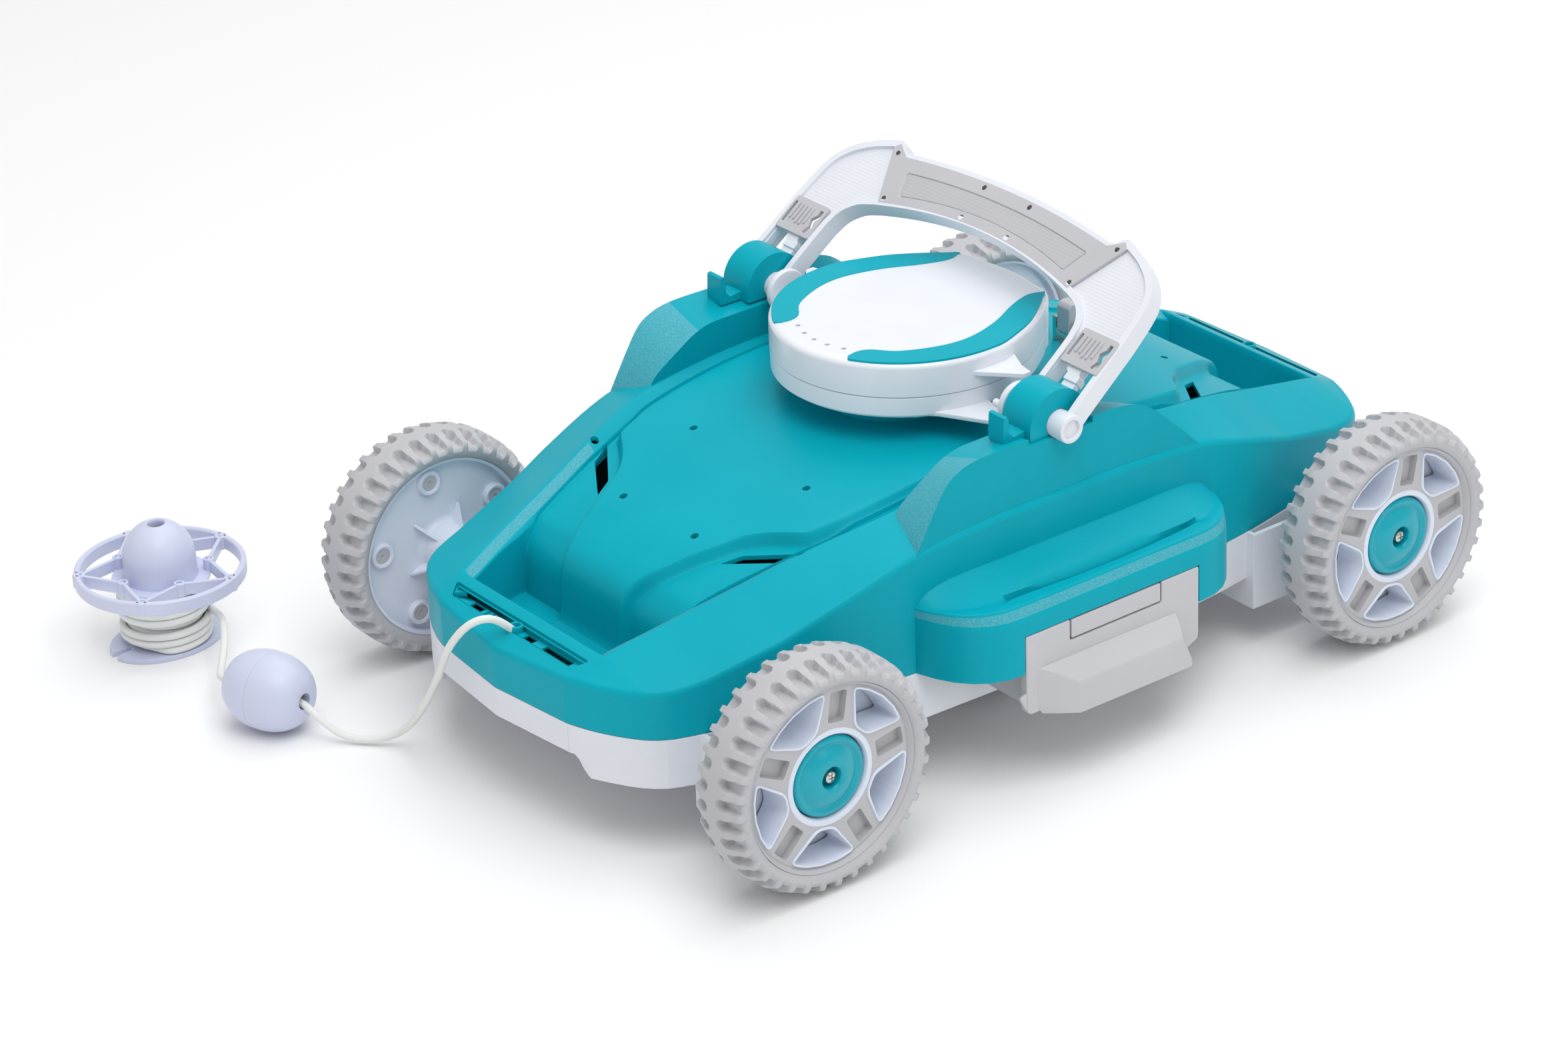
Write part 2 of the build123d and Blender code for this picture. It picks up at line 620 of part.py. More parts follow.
# grey slides on the arms with the white bolts that they move
LATCH_S0, LATCH_S1 = 29.0, 49.5
for name, centre in (("right", 115.2), ("left", -117.2)):
    with BuildPart() as slide:
        with BuildSketch(FACE.offset(FACE_OFFSET + 0.3)):
            with Locations((centre, (LATCH_S0 + LATCH_S1) / 2)):
                Rectangle(27.6, LATCH_S1 - LATCH_S0)
        extrude(amount=2.6)
        # finger ribs
        with BuildSketch(FACE.offset(FACE_OFFSET + 2.9)):
            with Locations((centre, (LATCH_S0 + LATCH_S1) / 2)):
                with GridLocations(4, 1, 5, 1):
                    Rectangle(1.6, LATCH_S1 - LATCH_S0 - 6)
        extrude(amount=0.8)
    save(slide.part, f"arch_latch_{name}")
    side = 1 if centre > 0 else -1
    with BuildPart() as bolt:
        with BuildSketch(FACE.offset(FACE_OFFSET - 6)):
            with Locations((side * 113, 28)):
                Rectangle(14, 13)
            with Locations((side * 113, 34.5)):
                Rectangle(22, 4)
        extrude(amount=6.3)
        with BuildSketch(FACE.offset(FACE_OFFSET - 4)):
            with Locations((side * 113, 24)):
                Rectangle(8, 6)
        extrude(amount=4)
    save(bolt.part, f"arch_bolt_{name}")

# ---------------------------------------------------------------- side drawers
TRAY_X0, TRAY_X1, TRAY_Z0 = 92.0, 162.0, 43.0
with BuildPart() as drawer:
    add(box(TRAY_X1, POD_X + 0.5, DOOR_Y0 + 0.5, DOOR_Y1 - 0.5, DOOR_Z0, DOOR_Z1 - 0.5))
    # pull block at the foot of the door
    pull = [(POD_X, 37), (POD_X + 11, 36), (POD_X + 10, 54), (POD_X + 7, 57), (POD_X, 65)]
    add(front_prism(pull, -44, 46))
    # tray behind the door
    add(box(TRAY_X0, TRAY_X1, DOOR_Y0 + 4, DOOR_Y1 - 4, TRAY_Z0, 80))
    add(box(TRAY_X0 + 2, TRAY_X1 - 0.5, DOOR_Y0 + 6, DOOR_Y1 - 6, TRAY_Z0 + 2, 90),
        mode=Mode.SUBTRACT)
    # windows in the floor for the screen
    with Locations(*[(x, y, TRAY_Z0 + 1) for x in (110, 128, 146) for y in (-30, 1, 32)]):
        Box(14, 26, 4, mode=Mode.SUBTRACT)
    # seat of the release tab
    add(box(TRAY_X1 - 3, POD_X + 2, -27.5, 33, 74.5, DOOR_Z1), mode=Mode.SUBTRACT)
save(drawer.part, "filter_drawer_right")
save(flipped(drawer.part), "filter_drawer_left")

with BuildPart() as screen:
    add(box(TRAY_X0 + 2.2, TRAY_X1 - 0.7, DOOR_Y0 + 6.2, DOOR_Y1 - 6.2, TRAY_Z0 + 2, TRAY_Z0 + 3))
save(screen.part, "filter_screen_right")
save(flipped(screen.part), "filter_screen_left")

with BuildPart() as tab:
    add(box(TRAY_X1 + 0.2, POD_X + 0.5, -27, 32.5, 75.5, DOOR_Z1 - 1))
save(tab.part, "drawer_tab_right")
save(flipped(tab.part), "drawer_tab_left")

# ---------------------------------------------------------------- rear lever and intake
with BuildPart() as lever:
    add(box(-5, 5, 112, 122, 141.5, 160))
    add(rod(crosswise(-5, 117, 146), 2 + RUN_FIT, 10), mode=Mode.SUBTRACT)
save(lever.part, "rear_lever")

with BuildPart() as lever_pin:
    with BuildSketch(crosswise(-10, 117, 146)):
        Circle(2)
    extrude(amount=20)
    for x in (-10, 7):
        add(box(x, x + 3, 113, 121, 134, 150))
save(lever_pin.part, "lever_bracket")

with BuildPart() as flap:
    add(box(-MOUTH_X + 4, MOUTH_X - 4, -MOUTH_Y + 4, MOUTH_Y - 8, 30, 31.5))
    add(rod(crosswise(-MOUTH_X + 4, MOUTH_Y - 8, 31), 2, 2 * MOUTH_X - 8))
    add(rod(crosswise(-MOUTH_X + 4, MOUTH_Y - 8, 31), 1.2 + RUN_FIT, 2 * MOUTH_X - 8),
        mode=Mode.SUBTRACT)
save(flap.part, "intake_flap")

with BuildPart() as flap_pin:
    with BuildSketch(crosswise(-MOUTH_X + WALL, MOUTH_Y - 8, 31)):
        Circle(1.2)
    extrude(amount=2 * (MOUTH_X - WALL))
save(flap_pin.part, "flap_pin")

with BuildPart() as pan_screws:
    for x, y in PAN_SCREWS:
        with Locations((x, y, PAN_Z + 1.1)):
            Cylinder(3.5, 1.4)
save(pan_screws.part, "pan_screws")

# ---------------------------------------------------------------- float cord
# free route: out of the slot, over the nose, down to the ground and up into the float
ROUTE_A = [(0, -247, 90), (-1, -256, 102), (-6, -269.5, 102.5), (-18, -276, 86),
           (-36, -271, 61), (-57, -268, 33), (-77, -268, 10), (-90, -279, 2.6),
           (-103, -290.5, 4.0), (-113, -298, 14)]
FAR_HOLE = FLOAT_AT - FLOAT_AXIS * (FLOAT_LENGTH / 2)
NEAR_HOLE = FLOAT_AT + FLOAT_AXIS * (FLOAT_LENGTH / 2)
ROUTE_B = [tuple(NEAR_HOLE - FLOAT_AXIS * 3), tuple(FLOAT_AT + Vector(0, 0, 0.4)),
           tuple(FAR_HOLE + FLOAT_AXIS * 3), (-176, -317.5, 18), (-190, -309, 13.5),
           (-203, -298, 18), (-217, -289, 23), (-231, -283, 21.5), (-243.2, -279.6, 18)]
ROUTE = [Vector(*p) for p in ROUTE_A + ROUTE_B]


def cord_radii(points):
    """Largest arc at each corner that leaves a tenth of the shorter run straight."""
    radii = []
    for before, here, after in zip(points, points[1:], points[2:]):
        run = min((here - before).length, (after - here).length)
        turn = radians((here - before).get_angle(after - here))
        radii.append(0.45 * run / tan(turn / 2))
    return radii


radii = cord_radii(ROUTE)
with BuildPart() as cord:
    with BuildLine() as route:
        FilletPolyline(*ROUTE, radius=radii)
    with BuildSketch(Plane(origin=ROUTE[0], z_dir=ROUTE[1] - ROUTE[0])):
        Circle(CORD_R)
    sweep(path=route.wires()[0])
save(cord.part, "float_cord")

with BuildPart() as knot:
    with Locations((0, -246, 81)):
        Sphere(4.5)
save(knot.part, "cord_knot")

# float: an egg in two halves on the cord
for name, side in (("float_half_near", 1), ("float_half_far", -1)):
    half = FLOAT_LENGTH / 2
    with BuildPart() as shell:
        with BuildSketch(Plane(origin=FLOAT_AT, x_dir=(0, 0, 1),
                               z_dir=Vector(0, 0, 1).cross(FLOAT_AXIS * side))):
            with BuildLine():
                Line((FLOAT_BORE, 0), (FLOAT_R, 0))
                Spline((FLOAT_R, 0), (FLOAT_R - 1, half * 0.4), (FLOAT_R * 0.62, half * 0.88),
                       (7, half))
                Line((7, half), (FLOAT_BORE, half))
                Line((FLOAT_BORE, half), (FLOAT_BORE, 0))
            make_face()
        revolve(axis=Axis(FLOAT_AT, FLOAT_AXIS))
    save(shell.part, name)

# reel: finger ring with a star of ribs, dome, core and notched foot
RING_Z0, RING_Z1, RING_R = 38.0, 46.0, 46.0
CORE_R, WOUND_R = 17.0, 25.5
with BuildPart() as reel:
    with BuildSketch(Plane.XY.offset(RING_Z0)):
        with Locations((REEL_X, REEL_Y)):
            Circle(RING_R)
            Circle(RING_R - 3.5, mode=Mode.SUBTRACT)
    extrude(amount=RING_Z1 - RING_Z0)
    with BuildSketch(Plane.XY.offset(RING_Z0 + 1)):
        for step in range(5):
            at = [(REEL_X + r * cos(a), REEL_Y + r * sin(a)) for r, a in
                  ((43, radians(100 + 72 * step)), (25, radians(136 + 72 * step)),
                   (43, radians(172 + 72 * step)))]
            with BuildLine():
                leg = Polyline(*at)
            trace(lines=leg, line_width=2.2)
            with Locations(at[0]):
                Circle(3.4)
        with Locations((REEL_X, REEL_Y)):
            Circle(26)
    extrude(amount=RING_Z1 - RING_Z0 - 2)
    with Locations((REEL_X, REEL_Y, 45)):
        Cylinder(19.5, 14)
    with Locations((REEL_X, REEL_Y, 52)):
        Sphere(19.5, arc_size1=0)
    with BuildSketch(Plane.XY.offset(3)):
        with Locations((REEL_X, REEL_Y)):
            Circle(CORE_R)
    extrude(amount=36)
    with BuildSketch():
        with Locations((REEL_X, REEL_Y)):
            Ellipse(24, 33)
            with Locations((0, -30)):
                Rectangle(3, 14, mode=Mode.SUBTRACT)
    extrude(amount=3)
    with Locations((REEL_X, REEL_Y, 40)):
        Cylinder(4, 90, mode=Mode.SUBTRACT)
save(reel.part, "cord_reel")

with BuildPart() as winding:
    with BuildSketch(Plane.XY.offset(3)):
        with Locations((REEL_X, REEL_Y)):
            Circle(WOUND_R)
            Circle(CORE_R, mode=Mode.SUBTRACT)
    extrude(amount=RING_Z0 - 4)
save(winding.part, "cord_winding")
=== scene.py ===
"""Looks of a cordless pool cleaner: body shell, wheels, pump head, arch, drawers, float cord.

Laid out as an add-on.  Sizes inside the builders are millimetres in the frame of the CAD
model and are brought to metres when a piece is finished.
"""
from math import atan2, cos, hypot, pi, radians, sin

import bmesh
import bpy
from bpy.props import FloatProperty, FloatVectorProperty, PointerProperty
from mathutils import Matrix, Vector
from mathutils.geometry import intersect_point_line


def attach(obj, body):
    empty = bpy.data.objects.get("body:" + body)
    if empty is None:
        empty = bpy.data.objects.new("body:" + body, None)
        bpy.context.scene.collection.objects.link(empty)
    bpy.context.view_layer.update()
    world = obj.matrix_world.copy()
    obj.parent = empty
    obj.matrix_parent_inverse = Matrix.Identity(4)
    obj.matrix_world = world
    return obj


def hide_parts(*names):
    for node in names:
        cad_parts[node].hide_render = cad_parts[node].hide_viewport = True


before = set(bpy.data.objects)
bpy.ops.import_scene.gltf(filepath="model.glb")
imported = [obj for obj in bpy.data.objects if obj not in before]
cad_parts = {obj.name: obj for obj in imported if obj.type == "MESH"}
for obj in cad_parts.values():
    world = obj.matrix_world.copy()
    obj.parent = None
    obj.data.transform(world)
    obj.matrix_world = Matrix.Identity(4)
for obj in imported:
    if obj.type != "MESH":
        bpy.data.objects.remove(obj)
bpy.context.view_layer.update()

bl_info = {
    "name": "Pool Cleaner",
    "version": (1, 0, 0),
    "blender": (4, 5, 0),
    "location": "View3D > Sidebar > Pool Cleaner",
    "description": "Builds the looks of a cordless pool cleaner around its CAD frame",
    "category": "Object",
}

MM = 0.001
WHEEL_R, TRACK_X, AXLE_Y = 62.0, 163.6, 189.4
SEAM_Z, POCKET_Z = 65.0, 72.0
PIVOT_Z, PIVOT_R, ARCH_TILT = 170.5, 7.5, radians(37.09)
HEAD_Z0, HEAD_SEAM_Z, HEAD_Z1 = 160.0, 172.0, 190.5
DOOR_Y0, DOOR_Y1, DOOR_Z1 = -57.0, 59.0, 86.0
SHELL_T = 2.2
CORNERS = (("front_right", 1, -AXLE_Y), ("front_left", -1, -AXLE_Y),
           ("rear_right", 1, AXLE_Y), ("rear_left", -1, AXLE_Y))


# ---------------------------------------------------------------- curves and tables
def smooth_path(points, steps):
    """Points along a smooth curve through the given ones."""
    knots = [Vector(p) for p in points]
    knots = [2 * knots[0] - knots[1]] + knots + [2 * knots[-1] - knots[-2]]
    made = []
    for a, b, c, d in zip(knots, knots[1:], knots[2:], knots[3:]):
        for step in range(steps):
            t = step / steps
            made.append(0.5 * (2 * b + (c - a) * t + (2 * a - 5 * b + 4 * c - d) * t * t
                               + (3 * b - a - 3 * c + d) * t ** 3))
    made.append(knots[-2])
    return [tuple(p) for p in made]


def read(table, at):
    """Values of a sorted table at a place between its rows."""
    for low, high in zip(table, table[1:]):
        if at <= high[0]:
            break
    share = min(max((at - low[0]) / (high[0] - low[0]), 0.0), 1.0)
    return [a + (b - a) * share for a, b in zip(low[1:], high[1:])]


def ease(value, low, high):
    """0 below low, 1 above high and a smooth run between."""
    t = min(max((value - low) / (high - low), 0.0), 1.0)
    return t * t * (3 - 2 * t)


def four_way(quarter):
    """Closed outline from its front right quarter."""
    rear = [(x, -y) for x, y in reversed(quarter) if abs(y) > 1e-6]
    right = quarter + rear
    return right + [(-x, y) for x, y in reversed(right) if abs(x) > 1e-6]


def rounded(corners, radius, steps=5):
    """Closed outline with each corner turned on a radius, or its own where one is given."""
    made = []
    count = len(corners)
    for index, here in enumerate(corners):
        turn = radius[index] if isinstance(radius, (list, tuple)) else radius
        point = Vector(here)
        before = (Vector(corners[index - 1]) - point)
        after = (Vector(corners[(index + 1) % count]) - point)
        turn = min(turn, before.length * 0.45, after.length * 0.45)
        start, end = point + before.normalized() * turn, point + after.normalized() * turn
        for step in range(steps + 1):
            t = step / steps
            made.append(tuple(start.lerp(point, t).lerp(point.lerp(end, t), t)))
    return made


def oblong(x0, y0, x1, y1):
    """Closed rectangle between two corners."""
    return [(x0, y0), (x1, y0), (x1, y1), (x0, y1)]


def bowed(base, rise, half, places):
    """Points of an arc that rises in the middle and is back at its base at half."""
    return [(x, base + rise * (1 - (x / half) ** 2)) for x in places]


def shifted(points, gap):
    """Open line moved to its left."""
    made = []
    for index, (x, y) in enumerate(points):
        before = points[max(index - 1, 0)]
        after = points[min(index + 1, len(points) - 1)]
        along = Vector((after[0] - before[0], after[1] - before[1])).normalized()
        made.append((x - gap * along.y, y + gap * along.x))
    return made


# front right quarter of the body's plan: straight nose, then round to the side
NOSE = [(0, -262), (27, -259.3), (54.5, -256.5)]
PLAN_SIDE = [(54.5, -256.5), (70.5, -251), (85, -243.5), (96, -235), (103, -224),
             (107.5, -209), (111.5, -192), (118, -162), (124.5, -127), (128.5, -90), (130, -50),
             (130, 0)]
PLAN = NOSE[:-1] + smooth_path(PLAN_SIDE, 6)
SIDE_TABLE = sorted((y, x) for x, y in PLAN if x > 75)
NOSE_TABLE = sorted((x, y) for x, y in PLAN if x < 97)
# outer edge of the body's top, inside its plan
RIM_INSET = 3.2
RIM = shifted(PLAN, RIM_INSET)
# body's top at y: half width of the sunk deck, height there, fall per mm outwards
CROWN = [(-264, 60, 86.2, 0.20), (-237, 61.1, 98.4, 0.24), (-208, 69, 107.8, 0.36),
         (-168, 79.6, 119.7, 0.41), (-134.3, 88.7, 130, 0.38), (-94, 98, 139, 0.30),
         (-45, 101, 144.5, 0.37), (0, 101.5, 146, 0.43)]
CROWN_TABLE = smooth_path([c[:3] for c in CROWN], 6)
FALL_TABLE = [(c[0], c[3]) for c in CROWN]
# inner step of the deck's centre panel
PANEL_TABLE = smooth_path(
    [(-262, 26), (-208, 26), (-200, 26.5), (-192, 29), (-184, 33), (-168, 40), (-154, 47),
     (-145, 51.5), (-135, 61), (-125, 76), (-115, 91)], 6) + [(-108, 97), (0, 97)]
# height of the deck's centre panel towards the middle
DECK_TABLE = smooth_path(
    [(-184, 116), (-170, 121), (-157, 125), (-128, 132.5), (-99, 138.5), (-60, 144.5),
     (-30, 147), (0, 148)], 5)


def frame_top(x, y):
    """Height of the body's top outside the sunk deck."""
    half, height = read(CROWN_TABLE, y)
    return height - read(FALL_TABLE, y)[0] * max(0.0, abs(x) - half)


# ---------------------------------------------------------------- mesh tools
def outwards(bm):
    """Points the faces of a mesh outwards."""
    bmesh.ops.recalc_face_normals(bm, faces=bm.faces)


def new_verts(made):
    """Verts among what a mesh operation made."""
    return [v for v in made["geom"] if isinstance(v, bmesh.types.BMVert)]


def sideways(side=1, height=0.0):
    """Plane that faces out to a side, its own Y upwards."""
    return Matrix(((0, 0, side, 0), (side, 0, 0, 0), (0, 1, 0, height), (0, 0, 0, 1)))


def slab(bm, outline, low, high, plane=None, mat=0):
    """Prism of a closed outline between two heights of a plane."""
    plane = plane or Matrix()
    verts = [bm.verts.new(plane @ Vector((x, y, low))) for x, y in outline]
    face = bm.faces.new(verts)
    face.material_index = mat
    top = new_verts(bmesh.ops.extrude_face_region(bm, geom=[face]))
    bmesh.ops.translate(bm, verts=top, vec=plane.to_3x3() @ Vector((0, 0, high - low)))
    for v in verts + top:
        for linked in v.link_faces:
            linked.material_index = mat


def side_slab(bm, side, outline, low, high, height=0.0):
    """Prism of an outline of (y, z) between two distances out to a side."""
    slab(bm, [(side * y, z) for y, z in outline], low, high, sideways(side, height))


def block(bm, low, high):
    """Box between two corners."""
    slab(bm, oblong(*low[:2], *high[:2]), low[2], high[2])


def sheet(bm, outline, height):
    """Single face of an outline at a height, facing up."""
    face = bm.faces.new([bm.verts.new((x, y, height)) for x, y in outline])
    face.normal_update()
    if face.normal.z < 0:
        face.normal_flip()
    return face


def thickened(bm, face, height):
    """Raises a face by a height over a copy of itself; returns the upper face."""
    made = bmesh.ops.extrude_face_region(bm, geom=[face])["geom"]
    top = [f for f in made if isinstance(f, bmesh.types.BMFace)][0]
    bmesh.ops.translate(bm, verts=top.verts[:], vec=(0, 0, height))
    return top


def turned(bm, profile, matrix, steps=64, mat=0):
    """Body turned about a matrix's Z axis from a profile of (radius, height)."""
    verts = [bm.verts.new(matrix @ Vector((r, 0, h))) for r, h in profile]
    edges = [bm.edges.new(pair) for pair in zip(verts, verts[1:])]
    before = set(bm.faces)
    bmesh.ops.spin(bm, geom=verts + edges, cent=matrix.translation,
                   axis=matrix.to_3x3() @ Vector((0, 0, 1)), angle=2 * pi, steps=steps,
                   use_merge=True)
    faces = [f for f in bm.faces if f not in before]
    for face in faces:
        face.material_index = mat
    corners = list({v for f in faces for v in f.verts})
    bmesh.ops.remove_doubles(bm, verts=corners, dist=1e-4)


def tube(bm, start, end, radius, bore=0.0, steps=40, mat=0, edge=0.5):
    """Round bar or pipe between two points, with softened ends."""
    start, end = Vector(start), Vector(end)
    length = (end - start).length
    matrix = Matrix.Translation(start) @ (end - start).to_track_quat("Z", "Y").to_matrix().to_4x4()
    outer = [(radius - edge, 0), (radius - edge * 0.3, edge * 0.3), (radius, edge),
             (radius, length - edge), (radius - edge * 0.3, length - edge * 0.3),
             (radius - edge, length)]
    if bore:
        profile = outer + [(bore + edge * 0.5, length), (bore, length - edge * 0.5),
                           (bore, edge * 0.5), (bore + edge * 0.5, 0), outer[0]]
    else:
        profile = [(0.0, 0)] + outer + [(0.0, length)]
    return turned(bm, profile, matrix, steps, mat)


def to_object(bm, name, materials, scale=MM):
    """Mesh object at the origin from a mesh in millimetres."""
    bmesh.ops.scale(bm, vec=(scale,) * 3, verts=bm.verts)
    mesh = bpy.data.meshes.new(name)
    bm.to_mesh(mesh)
    bm.free()
    for material in materials:
        mesh.materials.append(material)
    piece = bpy.data.objects.new(name, mesh)
    bpy.context.scene.collection.objects.link(piece)
    return piece


def carve(bm, cutter):
    """Mesh with a cutter's shape taken out; both stay in millimetres."""
    outwards(cutter)
    body = to_object(bm, "carve_body", [], 1.0)
    tool = to_object(cutter, "carve_tool", [], 1.0)
    cut = body.modifiers.new("cut", "BOOLEAN")
    cut.operation = "DIFFERENCE"
    cut.solver = "EXACT"
    cut.use_self = True
    cut.object = tool
    shown = body.evaluated_get(bpy.context.evaluated_depsgraph_get())
    made = bmesh.new()
    made.from_mesh(shown.to_mesh())
    shown.to_mesh_clear()
    for used in (body, tool):
        mesh = used.data
        bpy.data.objects.remove(used)
        bpy.data.meshes.remove(mesh)
    bmesh.ops.remove_doubles(made, verts=made.verts, dist=0.005)
    if not made.faces:
        raise RuntimeError("a cut left nothing of its piece")
    return made


def flipped(bm):
    """Adds the left-hand twin of a right-hand mesh."""
    bmesh.ops.mirror(bm, geom=bm.verts[:] + bm.edges[:] + bm.faces[:], axis="X",
                     merge_dist=-1.0)
    outwards(bm)


def soften(piece, bevel, segments, angle):
    """Rounds the edges sharper than an angle."""
    soft = piece.modifiers.new("soft_edges", "BEVEL")
    soft.width = bevel * MM
    soft.segments = segments
    soft.limit_method = "ANGLE"
    soft.angle_limit = radians(angle)


def even_normals(piece):
    """Weights the normals so that large faces look flat."""
    piece.modifiers.new("even_normals", "WEIGHTED_NORMAL").keep_sharp = True


def shade(piece, angle=35.0, bevel=0.0, segments=3, bevel_angle=35.0, weighted=True):
    """Smooth shading broken at sharp edges, after an optional rounding of the edges."""
    piece.data.polygons.foreach_set("use_smooth", [True] * len(piece.data.polygons))
    if bevel:
        soften(piece, bevel, segments, bevel_angle)
    else:
        piece.data.set_sharp_from_angle(angle=radians(angle))
    if weighted:
        even_normals(piece)
    return piece


def placed(bm, name, body, slot, materials, nodes=(), **look):
    """Finishes a piece: object, shading, body that it moves with and slot of its finish."""
    piece = shade(to_object(bm, name, materials), **look)
    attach(piece, body)
    if nodes:
        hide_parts(*nodes)
    return piece


def keep(name, material, bevel=0.0, segments=3):
    """Keeps a CAD node, with softened edges and a finish."""
    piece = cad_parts[name]
    for index in range(len(piece.material_slots)):
        piece.material_slots[index].link = "OBJECT"
        piece.material_slots[index].material = material
    if not piece.material_slots:
        piece.data.materials.append(material)
    if bevel:
        weld = piece.modifiers.new("weld", "WELD")
        weld.merge_threshold = 2e-6
        join = piece.modifiers.new("join", "DECIMATE")
        join.decimate_type = "DISSOLVE"
        join.angle_limit = radians(1)
        soften(piece, bevel, segments, 32)
        even_normals(piece)


# ---------------------------------------------------------------- finishes
def srgb(red, green, blue):
    """Linear colour from 0 to 255 screen values."""
    made = [c / 255 for c in (red, green, blue)]
    return tuple(c / 12.92 if c < 0.04045 else ((c + 0.055) / 1.055) ** 2.4 for c in made)


def fill(made, values):
    """Sets inputs of a shader node, each by its name or number."""
    for name, value in values.items():
        made.inputs[name].default_value = value


def node(tree, kind, values, **settings):
    """New shader node with some of its inputs and settings."""
    made = tree.nodes.new(kind)
    for name, value in settings.items():
        setattr(made, name, value)
    fill(made, values)
    return made


# sockets of the colour mix node
MIX_A, MIX_B, MIX_RESULT = 6, 7, 2
DIMPLES = 520.0            # dimples of arch and grip per metre


def moulded(name, colour, rough, grain=2200.0, grain_depth=0.00002, shift=0.06, coat=0.0,
            metal=0.0, dimples=0.0, sparkle=0.0, shine=0.4):
    """Moulded plastic or metal: even colour with slight flow marks and a fine surface grain."""
    material = bpy.data.materials.new(name)
    material.use_nodes = True
    tree = material.node_tree
    link = tree.links.new
    shader = tree.nodes["Principled BSDF"]
    fill(shader, {"Metallic": metal, "Coat Weight": coat, "Coat Roughness": 0.25,
                  "Specular IOR Level": shine})
    place = node(tree, "ShaderNodeTexCoord", {})
    flow = node(tree, "ShaderNodeTexNoise", {"Scale": 22.0, "Detail": 4.0})
    fine = node(tree, "ShaderNodeTexNoise", {"Scale": grain, "Detail": 2.0})
    for texture in (flow, fine):
        link(place.outputs["Object"], texture.inputs["Vector"])
    darker = [c * (1 - shift) for c in colour]
    lighter = [min(c * (1 + shift) + 0.004, 1.0) for c in colour]
    tint = node(tree, "ShaderNodeMix", {}, data_type="RGBA")
    fill(tint, {MIX_A: (*darker, 1), MIX_B: (*lighter, 1)})
    link(flow.outputs["Fac"], tint.inputs[0])
    base = tint.outputs[MIX_RESULT]
    if sparkle:
        fleck = node(tree, "ShaderNodeMapRange",
                     {"From Min": 0.45, "From Max": 0.75, "To Max": sparkle})
        link(fine.outputs["Fac"], fleck.inputs["Value"])
        lit = node(tree, "ShaderNodeMix", {}, data_type="RGBA")
        fill(lit, {MIX_B: (*[c * 0.35 + 0.6 for c in colour], 1)})
        link(fleck.outputs["Result"], lit.inputs[0])
        link(base, lit.inputs[MIX_A])
        base = lit.outputs[MIX_RESULT]
    link(base, shader.inputs["Base Color"])
    gloss = node(tree, "ShaderNodeMapRange", {"To Min": rough - 0.06, "To Max": rough + 0.06})
    link(flow.outputs["Fac"], gloss.inputs["Value"])
    link(gloss.outputs["Result"], shader.inputs["Roughness"])
    bump = node(tree, "ShaderNodeBump", {"Strength": 0.6, "Distance": grain_depth})
    link(fine.outputs["Fac"], bump.inputs["Height"])
    normal = bump.outputs["Normal"]
    if dimples:
        turn = node(tree, "ShaderNodeMapping", {"Rotation": (-ARCH_TILT, 0, 0)})
        cells = node(tree, "ShaderNodeTexVoronoi", {"Scale": dimples, "Randomness": 0.0})
        link(place.outputs["Object"], turn.inputs["Vector"])
        link(turn.outputs["Vector"], cells.inputs["Vector"])
        press = node(tree, "ShaderNodeBump", {"Strength": 0.7, "Distance": 0.0004}, invert=True)
        link(cells.outputs["Distance"], press.inputs["Height"])
        link(normal, press.inputs["Normal"])
        normal = press.outputs["Normal"]
    link(normal, shader.inputs["Normal"])
    return material


FINISH = {}                # filled by the first operator that runs


def mix_finishes(sizes):
    """All finishes, from the colours that a user can change."""
    teal, white, grey, pale = (tuple(c) for c in (sizes.body_colour, sizes.pan_colour,
                                                  sizes.grey_colour, sizes.float_colour))
    FINISH.update(
        teal=moulded("teal_plastic", teal, 0.32, shine=0.09),
        teal_gloss=moulded("teal_gloss", teal, 0.2, shine=0.4),
        teal_grained=moulded("teal_grained", tuple(c * 0.93 + 0.035 for c in teal), 0.42,
                             shine=0.2, grain=1500, grain_depth=0.00012, sparkle=0.22),
        white=moulded("white_plastic", white, 0.38),
        gloss=moulded("gloss_white", tuple(min(c * 1.06, 0.92) for c in white), 0.22, coat=0.3),
        arch=moulded("arch_white", tuple(min(c * 1.02, 0.9) for c in white), 0.32),
        arch_web=moulded("arch_dimpled", tuple(min(c, 0.88) for c in white), 0.4,
                         dimples=DIMPLES),
        grey=moulded("grey_plastic", grey, 0.42),
        grip=moulded("grip_dimpled", tuple(c * 0.95 for c in grey), 0.55,
                     dimples=DIMPLES),
        door=moulded("door_grey", tuple(c * 1.06 for c in grey), 0.4),
        tyre=moulded("tyre_rubber", tuple(c * 0.98 for c in grey), 0.55, grain=1600,
                     grain_depth=0.00004),
        rim=moulded("rim_white", srgb(220, 227, 240), 0.3),
        pale=moulded("float_white", pale, 0.34),
        steel=moulded("bright_steel", srgb(205, 203, 198), 0.22, metal=1.0),
        # real screw heads, made dark to paint the shade down in the grip plate's holes
        screw=moulded("screw_in_painted_shade", srgb(84, 84, 88), 0.4, metal=0.6),
        # near-black, used only for the painted shade seen through the nose slots' openings
        black=moulded("painted_shade_black", (0.012, 0.014, 0.016), 0.7),
        cord=moulded("cord_braid", srgb(233, 235, 232), 0.8, grain=1400, grain_depth=0.0004),
        mesh=moulded("screen_mesh", srgb(150, 155, 160), 0.6, grain=900, grain_depth=0.00008),
        copper=moulded("motor_steel", srgb(150, 150, 152), 0.35, metal=1.0),
        board=moulded("board_green", srgb(24, 92, 58), 0.45),
        cell=moulded("cell_wrap", srgb(70, 110, 170), 0.4),
        rubber=moulded("seal_rubber", srgb(40, 42, 44), 0.6),
        inner=moulded("inner_plastic", srgb(60, 66, 70), 0.5),
    )


